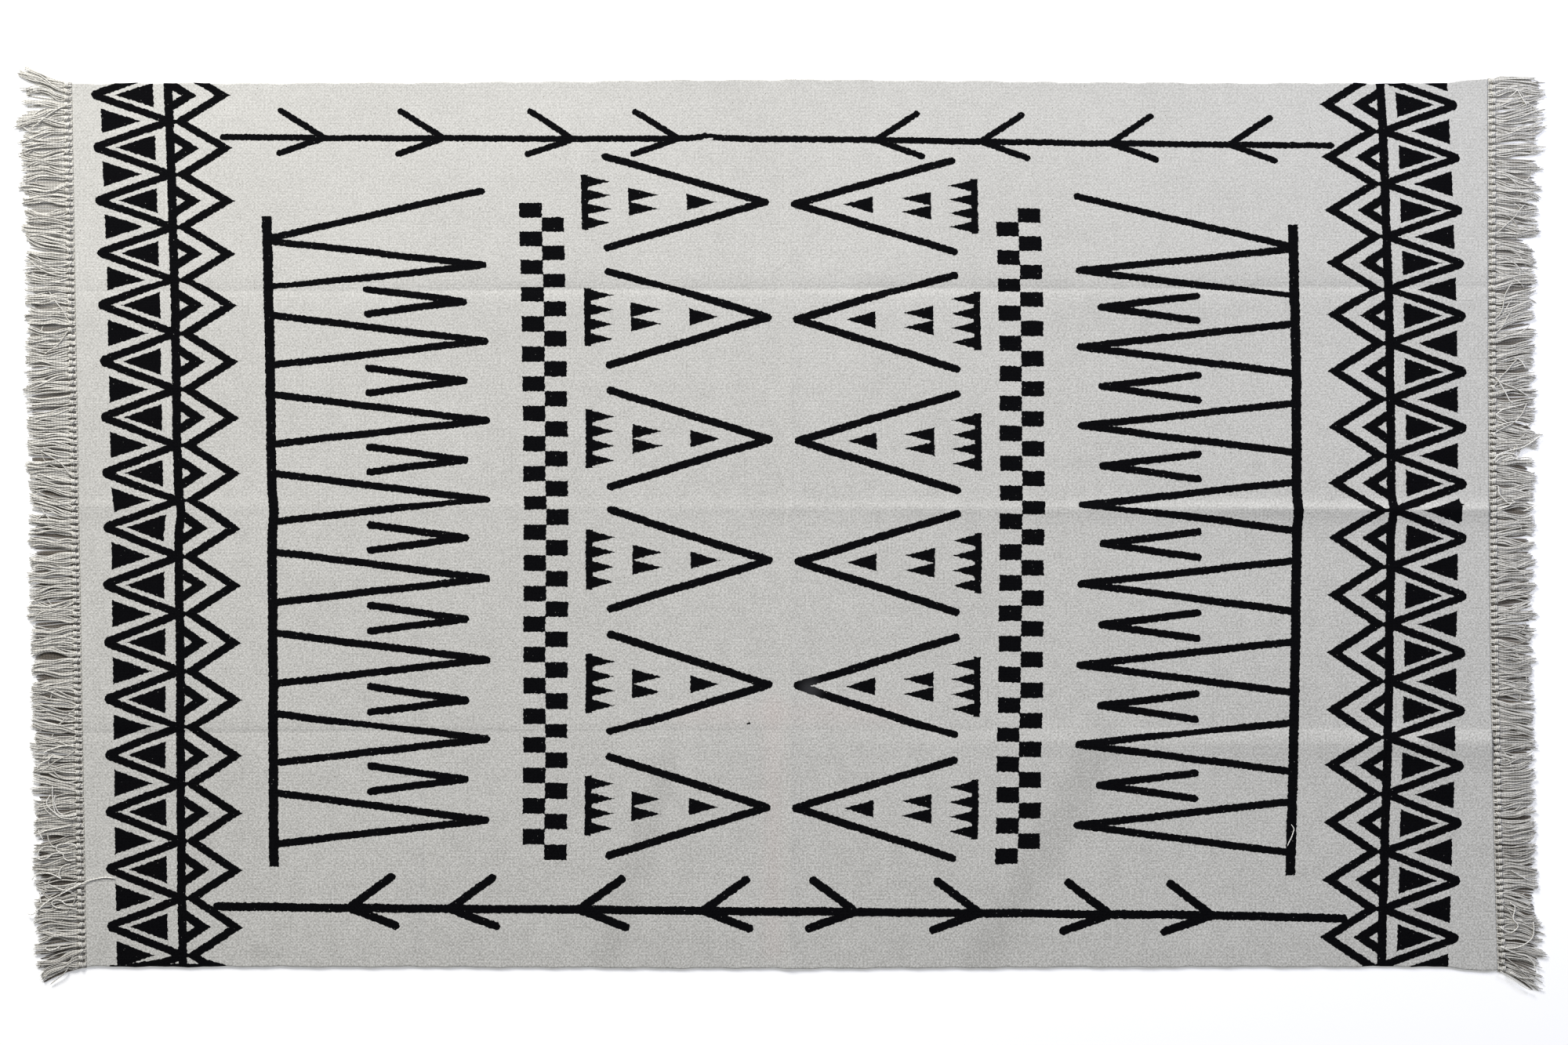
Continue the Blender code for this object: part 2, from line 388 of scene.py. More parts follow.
@dataclass(frozen=True)
class EndBand:
    """The band of zigzags and small triangles near each end, with its places measured from its bar."""

    bar_place: float = 1.0251
    bar_half: float = 0.0072
    repeat: float = 0.0937
    one_tip: float = 0.6429
    outer_zigzag_tip: float = 0.1270
    outer_zigzag_half: float = 0.0063
    outer_reach: float = 0.1290
    tip_radius: float = 0.0055
    triangle_half_base: float = 0.0220
    inner_triangle_base: float = 0.0256
    inner_triangle_apex: float = 0.0895
    outer_triangle_base: float = 0.1137
    outer_triangle_apex: float = 0.0492
    inner_zigzag_joint: float = 0.0184
    inner_zigzag_tip: float = 0.0923
    inner_zigzag_half: float = 0.0066
    chevron_tip: float = 0.0350
    chevron_slope: float = 0.6600
    chevron_half: float = 0.0072

    def distance(self, x: Field, y: Field) -> Field:
        """The distance to the band's ink.

        Args:
            x: How far a point is from the rug's middle.
            y: Its place across the rug.

        Returns:
            The distance, which is negative inside the ink.
        """
        out = x - self.bar_place
        inward = out * -1.0
        half_repeat = self.repeat / 2
        from_tip = folded(y, self.repeat, self.one_tip)
        from_joint = from_tip * -1.0 + half_repeat
        bar = abs(out) - self.bar_half
        outer_zigzag = rounded(
            slanted_line(out, from_tip, 0.0, self.outer_zigzag_tip, half_repeat, self.outer_zigzag_half),
            out - self.outer_reach,
            self.tip_radius,
        )
        inner_triangle = wedge(
            out, from_tip, self.inner_triangle_base, self.inner_triangle_apex, self.triangle_half_base
        )
        outer_triangle = wedge(
            out, from_joint, self.outer_triangle_base, self.outer_triangle_apex, self.triangle_half_base
        )
        inner_zigzag = slanted_line(
            inward,
            from_tip,
            self.inner_zigzag_joint,
            self.inner_zigzag_tip,
            half_repeat,
            self.inner_zigzag_half,
        )
        chevron_rise = self.chevron_tip * self.chevron_slope
        chevron = slanted_line(inward, from_tip, 0.0, self.chevron_tip, chevron_rise, self.chevron_half)
        return bar.least(outer_zigzag, inner_triangle, outer_triangle, inner_zigzag, chevron.most(out))


@dataclass(frozen=True)
class ToothedBar:
    """The long bar with eight narrow teeth that point to the middle, and small open Vs between them."""

    bar_place: float = 0.8666
    bar_half: float = 0.0080
    bar_middle: float = -0.0232
    bar_half_length: float = 0.5455
    spacing: float = 0.1324
    teeth_middle: float = -0.0263
    teeth: int = 8
    tooth_tip: float = 0.5030
    tooth_half_base: float = 0.0420
    small_tip: float = 0.5390
    small_open_end: float = 0.7007
    small_half_base: float = 0.0208
    free_stroke_root: float = 0.4827
    free_stroke_end: float = 0.5685
    stroke_half: float = 0.0059

    def distance(self, x: Field, y: Field) -> Field:
        """The distance to the ink of the bar, its teeth, the small Vs and the free stroke.

        Args:
            x: How far a point is from the rug's middle.
            y: Its place across the rug.

        Returns:
            The distance, which is negative inside the ink.
        """
        bar = abs(x - self.bar_place) - self.bar_half
        bar = bar.most(abs(y - self.bar_middle) - self.bar_half_length)
        from_tooth = folded(y, self.spacing, self.teeth_middle, self.teeth)
        tooth_root = (self.bar_place, self.tooth_half_base)
        tooth = stroke(x, from_tooth, (self.tooth_tip, 0.0), tooth_root, self.stroke_half)
        from_small = folded(y, self.spacing, self.teeth_middle, self.teeth - 1)
        open_end = (self.small_open_end, self.small_half_base)
        small = stroke(x, from_small, (self.small_tip, 0.0), open_end, self.stroke_half)
        free_end = (self.tooth_tip, self.free_stroke_end)
        free_root = (self.bar_place, self.free_stroke_root)
        return bar.least(tooth, small, stroke(x, y, free_end, free_root, self.stroke_half))


@dataclass(frozen=True)
class CheckedColumn:
    """Two columns of small checks, side by side and half a step apart."""

    middle: float = 0.4029
    check_width: float = 0.0373
    check_height: float = 0.0250
    rows: int = 44
    row_middle: float = -0.0036

    def distance(self, x: Field, y: Field) -> Field:
        """The distance to the ink of the checks.

        Each column is a row of squares that stand two heights apart, and ends at the middle line.

        Args:
            x: How far a point is from the rug's middle.
            y: Its place across the rug.

        Returns:
            The distance, which is negative inside the ink.
        """
        aside = x - self.middle
        half = self.check_height / 2
        outer = folded(y, 4 * half, self.row_middle + half, self.rows // 2) - half
        inner = folded(y, 4 * half, self.row_middle - half, self.rows // 2) - half
        return outer.most(aside * -1.0).least(inner.most(aside)).most(abs(aside) - self.check_width)


@dataclass(frozen=True)
class NestedTriangles:
    """Six large open triangles that point to the middle, each with a comb and three small triangles."""

    rows: int = 6
    spacing: float = 0.2027
    first_row: float = 0.5485
    tip: float = 0.0246
    open_end: float = 0.2928
    half_base: float = 0.0803
    stroke_half: float = 0.0063
    comb_base: float = 0.3346
    comb_strip: float = 0.0110
    comb_tip: float = 0.2868
    tooth_height: float = 0.0242
    pair_base: float = 0.2554
    pair_tip: float = 0.2064
    small_base: float = 0.1568
    small_tip: float = 0.1087
    small_half_base: float = 0.0141

    def distance(self, x: Field, y: Field) -> Field:
        """The distance to the ink of the open triangles and what they hold.

        Args:
            x: How far a point is from the rug's middle.
            y: Its place across the rug.

        Returns:
            The distance, which is negative inside the ink.
        """
        row_middle = self.first_row - self.spacing * (self.rows - 1) / 2
        aside = folded(y, self.spacing, row_middle, self.rows)
        tooth = self.tooth_height
        sides = stroke(x, aside, (self.tip, 0.0), (self.open_end, self.half_base), self.stroke_half)
        from_tooth = folded(aside, tooth, tooth / 2)
        comb_teeth = wedge(x, from_tooth, self.comb_base, self.comb_tip, tooth / 2)
        comb_strip = abs(x - (self.comb_base - self.comb_strip / 2)) - self.comb_strip / 2
        comb = comb_teeth.least(comb_strip).most(aside - 2 * tooth)
        pair = wedge(x, abs(aside - tooth / 2), self.pair_base, self.pair_tip, tooth / 2)
        small = wedge(x, aside, self.small_base, self.small_tip, self.small_half_base)
        return sides.least(comb, pair, small)


class Pointing(Enum):
    """Which way the barbs of an arrow row point."""

    TO_MIDDLE = 1.0
    TO_ENDS = -1.0


@dataclass(frozen=True)
class ArrowRow:
    """A long line with barbs, which point to the rug's middle or to its ends from both sides."""

    place: float
    axis: float
    reach: tuple[float, float]
    tilt: float
    joints: tuple[float, ...]
    pointing: Pointing
    upper_reach: tuple[float, float]
    lower_reach: tuple[float, float]
    line_half: float
    restart: float = 0.0
    restart_rise: float = 0.0
    restart_reach: float = 0.028

    def distance(self, x: Field, y: Field) -> Field:
        """The distance to the ink of the line and its barbs.

        The nearest barb's joint is found by steps: each one passed adds the way to the next. Where the
        line was stopped and started again, it rises by a share that is e to the power of minus the
        distance from there.

        Args:
            x: The place along the rug, with its sign.
            y: The place across the rug.

        Returns:
            The distance, which is negative inside the ink.
        """
        from_axis = abs(x - self.axis)
        above = weighted(x, y, -self.tilt, 1.0, -self.place)
        if self.restart_rise:
            power = abs(x - self.restart) * (-1 / self.restart_reach)
            peak = add_node(x.tree, "ShaderNodeMath", {"operation": "EXPONENT"}, {0: power})
            above = above - peak * self.restart_rise
        line = stroke(x, above, (self.reach[0], 0.0), (self.reach[1], 0.0), self.line_half)
        reach = max(self.upper_reach[0], self.lower_reach[0]) + 2 * self.line_half
        joint: Number = self.joints[0]
        for last, following in zip(self.joints, self.joints[1:]):
            turn = following - 2 * self.line_half
            if self.pointing is Pointing.TO_ENDS:
                turn = following - reach
            over = {0: from_axis, 1: turn}
            passed = add_node(x.tree, "ShaderNodeMath", {"operation": "GREATER_THAN"}, over)
            added = {0: passed, 1: following - last, 2: joint}
            joint = add_node(x.tree, "ShaderNodeMath", {"operation": "MULTIPLY_ADD"}, added)
        behind = (from_axis - joint) * self.pointing.value
        upper = stroke(behind, above, (0.0, 0.0), self.upper_reach, self.line_half)
        lower = stroke(behind, above, (0.0, 0.0), self.lower_reach, self.line_half)
        return line.least(upper, lower)


@dataclass(frozen=True)
class Mark:
    """A slip of the printer's hand: a short stroke of ink, or of bare cloth where the ink was missed."""

    start: tuple[float, float]
    end: tuple[float, float]
    half: float
    inked: bool = True


@dataclass(frozen=True)
class Screen:
    """How far one half of the print is set too high: a length, and shares of x, y and x times y."""

    lift: float
    x_share: float
    y_share: float
    twist: float

    def offset(self, x: Field, y: Field) -> Field:
        """The offset at a place on the cloth."""
        return weighted(x, y, self.x_share, self.y_share, self.lift) + x * y * self.twist


@dataclass(frozen=True)
class PrintedDesign:
    """The whole black print, and how it lies on the cloth: a little askew, bowed and taken up by folds."""

    axis: float = -0.0004
    slant: float = -0.0018
    keystone: float = -0.0077
    slant_growth: float = 0.0048
    end_curve: float = 0.0202
    curve_growth: float = 0.0096
    end_bend: float = 0.0109
    spread: float = -0.0013
    slip_place: float = 0.022
    slip_reach: float = 0.026
    slip: float = 0.0042
    left_screen: Screen = Screen(0.0005, 0.0014, 0.0008, 0.0034)
    right_screen: Screen = Screen(-0.0011, 0.0, -0.0019, 0.0006)
    skew: float = 0.0082
    bow: float = 0.0042
    bow_reach: float = 0.45
    half_width: float = 0.75
    lower_scale: float = 0.9646
    middle_scale_gain: float = 0.0236
    upper_scale_gain: float = 0.0593
    lower_fold: float = -0.346
    middle_fold: float = 0.032
    upper_fold: float = 0.398
    lower_take_up: float = 0.0029
    middle_take_up: float = 0.0032
    upper_take_up: float = 0.0030
    fold_width: float = 0.012
    wobble: float = 0.0014
    wobble_size: float = 0.11
    end_band: EndBand = EndBand()
    toothed_bar: ToothedBar = ToothedBar()
    checks: CheckedColumn = CheckedColumn()
    triangles: NestedTriangles = NestedTriangles()
    top_row: ArrowRow = ArrowRow(
        place=0.6607,
        axis=-0.0012,
        reach=(-0.9357, 0.9366),
        tilt=0.0007,
        joints=(0.1671, 0.3447, 0.5630, 0.7645),
        pointing=Pointing.TO_MIDDLE,
        upper_reach=(0.0705, 0.0478),
        lower_reach=(0.0764, -0.0276),
        line_half=0.0053,
        restart=-0.1225,
        restart_rise=0.0050,
    )
    bottom_row: ArrowRow = ArrowRow(
        place=-0.6345,
        axis=-0.0012,
        reach=(-0.9642, 0.9580),
        tilt=0.0,
        restart=0.9580,
        restart_rise=-0.0045,
        restart_reach=0.150,
        joints=(0.1305, 0.3420, 0.5640, 0.7368),
        pointing=Pointing.TO_ENDS,
        upper_reach=(0.0730, 0.0507),
        lower_reach=(0.0795, -0.0278),
        line_half=0.0067,
    )
    marks: tuple[Mark, ...] = (
        Mark((-1.1390, -0.7478), (-1.1000, -0.7475), 0.0020),
        Mark((-1.1071, -0.7473), (-1.0287, -0.7360), 0.0040),
        Mark((-0.9889, -0.7372), (-0.9465, -0.7487), 0.0040),
        Mark((-1.1000, -0.7465), (-0.9520, -0.7470), 0.0034),
        Mark((1.1420, 0.0290), (1.1422, 0.0085), 0.0046),
        Mark((1.1430, 0.0330), (1.1497, 0.0345), 0.0009),
        Mark((-0.0625, -0.3373), (-0.0590, -0.3364), 0.0013),
        Mark((-0.1381, 0.6675), (-0.1248, 0.6652), 0.0032, inked=False),
        Mark((-0.1394, 0.6495), (-0.1221, 0.6525), 0.0021, inked=False),
    )
    worn_place: tuple[float, float] = (0.0450, -0.2790)
    worn_reach: float = 0.0280

    def taken_up(self, y: Field, fold: float, amount: float) -> Field:
        """How much print a fold has swallowed: none below it, and the whole amount above it."""
        low, high = fold - self.fold_width / 2, fold + self.fold_width / 2
        step = {"Value": y, "From Min": low, "From Max": high, "To Max": amount}
        return add_node(y.tree, "ShaderNodeMapRange", SMOOTH_STEP, step)

    def laid_out(self, place: Field) -> tuple[Field, Field, Field]:
        """Turns a place on the cloth to one on the drawn design.

        Along the rug it is x, plus a share of x squared, which is smaller near the middle fold, plus y
        times a slant that changes with x, plus y squared times a curve that grows with x and bends with
        y. Across it, it is y with the skew, less the bow of the upper edge, stretched above two of the
        folds, with what each fold has taken up. The motifs of each half are also set off across it by
        their screen. A soft noise makes all of it wander.

        Args:
            place: The place on the flat cloth, as a vector.

        Returns:
            The place along the drawn design, the one across it, and the latter for the motifs.
        """
        tree = place.tree
        noise = add_node(
            tree,
            "ShaderNodeTexNoise",
            FLAT_NOISE,
            {"Vector": place, "Scale": 1 / self.wobble_size, "Detail": 1.0},
            "Color",
        )
        offset = add_node(
            tree,
            "ShaderNodeVectorMath",
            {"operation": "MULTIPLY_ADD"},
            {0: noise, 1: (2 * self.wobble,) * 3, 2: (-self.wobble,) * 3},
        )
        moved = add_node(tree, "ShaderNodeVectorMath", {"operation": "ADD"}, {0: place, 1: offset})
        x, y = along_and_across(moved)
        curve = weighted(x, y, self.curve_growth, self.end_bend, self.end_curve)
        slant = x * (x * self.slant_growth + self.keystone) + self.slant
        near_slip = bell_of(y - self.slip_place, self.slip_reach)
        along = x + x * x * (near_slip * -self.slip + self.spread) + y * (slant + y * curve)
        left, right = self.left_screen.offset(x, y), self.right_screen.offset(x, y)
        on_right = add_node(tree, "ShaderNodeMath", {"operation": "GREATER_THAN"}, {0: x, 1: 0.0})
        upper_share = (y * (1 / self.half_width)).most(0.0)
        bow = bell_of(x, self.bow_reach) * upper_share * self.bow
        across = weighted(x, y, self.skew, 1.0, 0.0) - bow
        stretched = (
            across * self.lower_scale
            + (across - self.middle_fold).most(0.0) * self.middle_scale_gain
            + (across - self.upper_fold).most(0.0) * self.upper_scale_gain
        )
        gone = self.taken_up(across, self.lower_fold, self.lower_take_up) - self.lower_take_up
        gone = gone + self.taken_up(across, self.middle_fold, self.middle_take_up)
        gone = gone + self.taken_up(across, self.upper_fold, self.upper_take_up)
        drawn = stretched + gone
        return along, drawn, drawn - left - on_right * (right - left)

    def distance(self, place: Field) -> Field:
        """The distance from a place on the cloth to the nearest ink, negative inside it."""
        along, across, motif_across = self.laid_out(place)
        from_middle = abs(along - self.axis)
        ink = self.end_band.distance(from_middle, motif_across).least(
            self.toothed_bar.distance(from_middle, motif_across),
            self.checks.distance(from_middle, motif_across),
            self.triangles.distance(from_middle, motif_across),
            self.top_row.distance(along, across),
            self.bottom_row.distance(along, across),
        )
        x, y = along_and_across(place)
        for mark in self.marks:
            slip = stroke(x, y, mark.start, mark.end, mark.half)
            ink = ink.least(slip) if mark.inked else ink.most(slip * -1.0)
        return ink

    def worn(self, place: Field) -> Field:
        """How far the ink is rubbed away, from 0 to 1: a soft round patch at the tip of a triangle."""
        away = add_node(
            place.tree,
            "ShaderNodeVectorMath",
            {"operation": "DISTANCE"},
            {0: place, 1: (*self.worn_place, 0.0)},
            "Value",
        )
        step = {"Value": away, "From Min": self.worn_reach, "From Max": 0.0}
        return add_node(place.tree, "ShaderNodeMapRange", SMOOTH_STEP, step)


# Finishes


class Face(Enum):
    """The two faces of the cloth: the upper one is printed and the lower one is bare."""

    PRINTED = "cotton_printed_black"
    BARE = "cotton_bare_back"


@dataclass(frozen=True)
class StainAndShadeBand:
    """A soft, drawn-out band of colour, used for real stains and for painted shade: it shows most along its
    middle line and is gone at its reach.
    """

    start: tuple[float, float]
    end: tuple[float, float]
    reach: float
    strength: float

    def share(self, x: Field, y: Field) -> Field:
        """How strongly the band shows at a place on the flat cloth."""
        away = stroke(x, y, self.start, self.end, 0.0)
        step = {"Value": away, "From Min": self.reach, "From Max": 0.0, "To Max": self.strength}
        return add_node(x.tree, "ShaderNodeMapRange", SMOOTH_STEP, step)


@dataclass(frozen=True)
class WovenCotton:
    """Undyed cotton in plain weave, printed with pigment paste on its face.

    The yarn is unbleached, so it gives the eye a grey cream with darker husk flecks, slubs that run
    with the yarns and a matt, slightly hairy surface. The paste sinks into the yarn: it is a soft
    black with rough edges one yarn wide, and bare yarn crowns show in it as pale specks.
    """

    ground: str = "#D2D1CC"
    ground_dark: str = "#A2A19C"
    husk: str = "#5E5345"
    flush: str = "#E4A7A4"
    ink: str = "#060608"
    ink_faded: str = "#0C0C0E"
    ink_rubbed: str = "#333335"
    # The real spacing of the yarns, about nine to the inch
    yarn_spacing: float = 2.8 * MILLIMETRE
    # The low places of the weave get a darker ground, as painted shade between the yarns
    painted_weave_shade: float = -0.25
    slub_length: float = 60 * MILLIMETRE
    slub_width: float = 4 * MILLIMETRE
    warp_slub_shade: float = 0.12
    weft_slub_shade: float = 0.08
    cloud_size: float = 260 * MILLIMETRE
    cloud_shade: float = 0.16
    # The nubs of the yarn are finer than this, and are drawn coarser so that they show
    grain_size: float = 3.4 * MILLIMETRE
    grain_strength: float = 1.95
    grain_growth: float = -0.72
    blotch_size: float = 30 * MILLIMETRE
    blotch_shade: float = 0.15
    base_shade: float = 0.445
    # Darker bands in the ground: the first two are painted shade of soft ripples in the cloth, and the
    # third darkens a small patch near the lower left corner
    darker_bands: tuple[StainAndShadeBand, ...] = (
        StainAndShadeBand((-0.1990, -0.4090), (-0.3040, -0.7400), 0.040, 0.15),
        StainAndShadeBand((0.5440, -0.3700), (0.3320, -0.7400), 0.055, 0.20),
        StainAndShadeBand((-0.8990, -0.7220), (-0.8590, -0.7300), 0.018, 0.14),
    )
    pink_stains: tuple[StainAndShadeBand, ...] = (
        StainAndShadeBand((-0.1700, -0.3200), (0.1900, -0.3200), 0.034, 0.040),
        StainAndShadeBand((-0.0190, -0.3000), (-0.0190, -0.7200), 0.030, 0.050),
    )
    husk_spacing: float = 27 * MILLIMETRE
    husk_radius: float = 1.0 * MILLIMETRE
    speck_spacing: float = 24 * MILLIMETRE
    speck_radius: float = 0.8 * MILLIMETRE
    speck_loss: float = 0.50
    edge_raggedness: float = 2.0 * MILLIMETRE
    edge_wave: float = 5.5 * MILLIMETRE
    edge_softness: float = 0.30 * MILLIMETRE
    ink_spread: float = 0.35 * MILLIMETRE
    ground_shine: float = 0.25
    ink_shine: float = 0.03
    ground_fuzz: float = 0.08
    relief: float = 0.35 * MILLIMETRE
    ground_roughness: float = 0.92
    ink_roughness: float = 0.72

    def patches(self, place: Field, size: float, detail: float, roughness: float = 0.5) -> Field:
        """Uneven patches of about one size, from 0 to 1."""
        inputs = {"Vector": place, "Scale": 1 / size, "Detail": detail, "Roughness": roughness}
        return add_node(place.tree, "ShaderNodeTexNoise", FLAT_NOISE, inputs)

    def streaks(self, place: Field, stretch: tuple[float, float, float]) -> Field:
        """Patches drawn out along one set of yarns."""
        scaled = {0: place, 1: stretch}
        drawn_out = add_node(place.tree, "ShaderNodeVectorMath", {"operation": "MULTIPLY"}, scaled)
        return self.patches(drawn_out, 1.0, 3.0, 0.6)

    def weave(self, place: Field) -> Field:
        """The height of a plain weave, from 0 to 0.85.

        A sine wave across each set of yarns gives their crowns. Their product changes sign at every
        crossing, so the crowns of warp and weft come up in turn like the squares of a board.
        """
        turned = math.pi / self.yarn_spacing
        x, y = along_and_across(place)
        warp = add_node(place.tree, "ShaderNodeMath", {"operation": "SINE"}, {0: y * turned})
        weft = add_node(place.tree, "ShaderNodeMath", {"operation": "SINE"}, {0: x * turned})
        return warp * weft * 0.25 + abs(warp) * 0.4 + abs(weft) * 0.2

    def spots(self, place: Field, spacing: float, radius: float) -> Field:
        """Small round spots strewn over the cloth, one in each cell of the spacing, 1 inside a spot."""
        tree = place.tree
        nearest = add_node(
            tree,
            "ShaderNodeTexVoronoi",
            {"voronoi_dimensions": "2D"},
            {"Vector": place, "Scale": 1 / spacing, "Randomness": 1.0},
            "Distance",
        )
        cell_colour = Field(tree, nearest.socket.node.outputs["Color"])
        chance = add_node(tree, "ShaderNodeSeparateColor", {}, {"Color": cell_colour})
        size = (chance * 0.75 + 0.25) * (radius / spacing)
        step = {"Value": nearest, "From Min": size, "From Max": size * 0.4}
        return add_node(tree, "ShaderNodeMapRange", SMOOTH_STEP, step)

    def material(self, face: Face, design: PrintedDesign) -> bpy.types.Material:
        """Makes the material of one face.

        Args:
            face: Which face of the cloth it is for.
            design: The print, which only the upper face carries.

        Returns:
            The material.
        """
        material = new_material(face.value)
        tree = material.node_tree
        place = add_node(tree, "ShaderNodeUVMap", {"uv_map": FLAT_MAP})
        weave = self.weave(place)
        warp_slubs = self.streaks(place, (1 / self.slub_length, 1 / self.slub_width, 1.0))
        weft_slubs = self.streaks(place, (1 / self.slub_width, 1 / self.slub_length, 1.0))
        clouds = self.patches(place, self.cloud_size, 3.0)
        grain = self.patches(place, self.grain_size, 2.0, 0.7)
        blotches = self.patches(place, self.blotch_size, 2.0, 0.75)
        x, y = along_and_across(place)
        strength = y * self.grain_growth + self.grain_strength
        rough = (grain - 0.5 + (blotches - 0.5) * self.blotch_shade) * strength
        slubs = warp_slubs * self.warp_slub_shade + weft_slubs * self.weft_slub_shade
        mottle_and_shade = slubs + clouds * self.cloud_shade + rough
        # The painted shade of the ripples and the darker patch are added to the ground's shade
        for soft_band in self.darker_bands:
            mottle_and_shade = mottle_and_shade + soft_band.share(x, y)
        # Painted shade: the weave's low places darken the ground
        shade = (mottle_and_shade + weave * self.painted_weave_shade + self.base_shade).most(0.0).least(1.0)
        shades = {0: shade, 6: linear(self.ground), 7: linear(self.ground_dark)}
        ground = add_node(tree, "ShaderNodeMix", COLOUR_MIX, shades, 2)
        husks = self.spots(place, self.husk_spacing, self.husk_radius)
        flecked = {0: husks, 6: ground, 7: linear(self.husk)}
        colour = add_node(tree, "ShaderNodeMix", COLOUR_MIX, flecked, 2)
        for soft_band in self.pink_stains:
            tinge = {0: soft_band.share(x, y), 6: colour, 7: linear(self.flush)}
            colour = add_node(tree, "ShaderNodeMix", COLOUR_MIX, tinge, 2)
        roughness: Value = self.ground_roughness
        shine: Value = self.ground_shine
        fuzz: Value = self.ground_fuzz
        height = weave * 0.8 + warp_slubs * 0.5 + weft_slubs * 0.3
        if face is Face.PRINTED:
            ragged = self.patches(place, self.edge_wave, 2.0)
            edge = design.distance(place) + (ragged - 0.5) * (2 * self.edge_raggedness) - self.ink_spread
            step = {"Value": edge, "From Min": self.edge_softness, "From Max": -self.edge_softness}
            ink = add_node(tree, "ShaderNodeMapRange", SMOOTH_STEP, step)
            specks = self.spots(place, self.speck_spacing, self.speck_radius)
            ink = ink * (specks * -self.speck_loss + 1.0)
            blacks = {0: shade, 6: linear(self.ink), 7: linear(self.ink_faded)}
            paste = add_node(tree, "ShaderNodeMix", COLOUR_MIX, blacks, 2)
            rubbed = {0: design.worn(place), 6: paste, 7: linear(self.ink_rubbed)}
            paste = add_node(tree, "ShaderNodeMix", COLOUR_MIX, rubbed, 2)
            printed = {0: ink, 6: colour, 7: paste}
            colour = add_node(tree, "ShaderNodeMix", COLOUR_MIX, printed, 2)
            roughness = ink * (self.ink_roughness - self.ground_roughness) + self.ground_roughness
            shine = ink * (self.ink_shine - self.ground_shine) + self.ground_shine
            fuzz = ink * -self.ground_fuzz + self.ground_fuzz
        normal = add_node(
            tree, "ShaderNodeBump", {}, {"Height": height, "Distance": self.relief, "Strength": 0.8}
        )
        shader = add_node(
            tree,
            "ShaderNodeBsdfPrincipled",
            {},
            {
                "Base Color": colour,
                "Roughness": roughness,
                "Normal": normal,
                "IOR": 1.45,
                "Specular IOR Level": shine,
                "Sheen Weight": fuzz,
                "Sheen Roughness": 0.5,
            },
        )
        add_node(tree, "ShaderNodeOutputMaterial", {}, {"Surface": shader})
        return material


@dataclass(frozen=True)
class PliedCotton:
    """Undyed two-ply cotton warp yarn.

    It gives the eye a grey cream like the cloth, each yarn a little lighter or darker than the next,
    with the slanting lines of the ply and a matt, hairy surface.
    """

    name: str = "cotton_plied_yarn"
    light: str = "#CFCDC6"
    dark: str = "#574F45"
    ply_length: float = 5.0 * MILLIMETRE
    relief: float = 0.35 * MILLIMETRE
    roughness: float = 0.93

    def material(self) -> bpy.types.Material:
        """Makes the material, which reads how far along and round a yarn each point is.

        Returns:
            The material.
        """
        material = new_material(self.name)
        tree = material.node_tree
        place = add_node(tree, "ShaderNodeUVMap", {"uv_map": YARN_MAP})
        along, round_it = along_and_across(place)
        turns = weighted(along, round_it, 2 * math.pi / self.ply_length, 4 * math.pi, 0.0)
        ply = add_node(tree, "ShaderNodeMath", {"operation": "SINE"}, {0: turns})
        # The tone holds each yarn's own tone and, in the fringe, painted shade and painted light
        tone = add_node(tree, "ShaderNodeAttribute", {"attribute_name": TONE}, {}, "Fac")
        # The ply's grooves are drawn a little darker, as painted shade
        shade = (tone + ply * 0.06).most(0.0).least(1.0)
        shades = {0: shade, 6: linear(self.dark), 7: linear(self.light)}
        colour = add_node(tree, "ShaderNodeMix", COLOUR_MIX, shades, 2)
        ridges = {"Height": ply, "Distance": self.relief, "Strength": 0.5}
        normal = add_node(tree, "ShaderNodeBump", {}, ridges)
        shader = add_node(
            tree,
            "ShaderNodeBsdfPrincipled",
            {},
            {
                "Base Color": colour,
                "Roughness": self.roughness,
                "Normal": normal,
                "IOR": 1.45,
                "Specular IOR Level": 0.25,
                "Sheen Weight": 0.08,
                "Sheen Roughness": 0.5,
            },
        )
        add_node(tree, "ShaderNodeOutputMaterial", {}, {"Surface": shader})
        return material


@dataclass(frozen=True)
class PaleFloor:
    """A white painted studio floor, matt and very faintly uneven."""

    colour: str = "#F8F8F8"
    shadow: str = "#F3F3F3"
    glow: float = 0.21
    patch_size: float = 1.3

    def material(self) -> bpy.types.Material:
        """Makes the material of the floor.

        Returns:
            The material.
        """
        material = new_material("painted_floor")
        tree = material.node_tree
        place = add_node(tree, "ShaderNodeTexCoord", {}, {}, "Object")
        patches = add_node(tree, "ShaderNodeTexNoise", {}, {"Vector": place, "Scale": 1 / self.patch_size})
        shades = {0: patches, 6: linear(self.shadow), 7: linear(self.colour)}
        colour = add_node(tree, "ShaderNodeMix", COLOUR_MIX, shades, 2)
        shader = add_node(
            tree,
            "ShaderNodeBsdfPrincipled",
            {},
            {
                "Base Color": colour,
                "Roughness": 0.9,
                "Emission Color": linear(self.colour),
                "Emission Strength": self.glow,
            },
        )
        add_node(tree, "ShaderNodeOutputMaterial", {}, {"Surface": shader})
        return material


# Meshes


def smooth_object(name: str, mesh: bpy.types.Mesh) -> bpy.types.Object:
    """Shades a mesh smooth and puts it in the scene as an object at the origin.

    Args:
        name: The piece's name.
        mesh: Its mesh.

    Returns:
        The object.
    """
    mesh.validate()
    mesh.shade_smooth()
    piece = bpy.data.objects.new(name, mesh)
    bpy.context.scene.collection.objects.link(piece)
    return piece


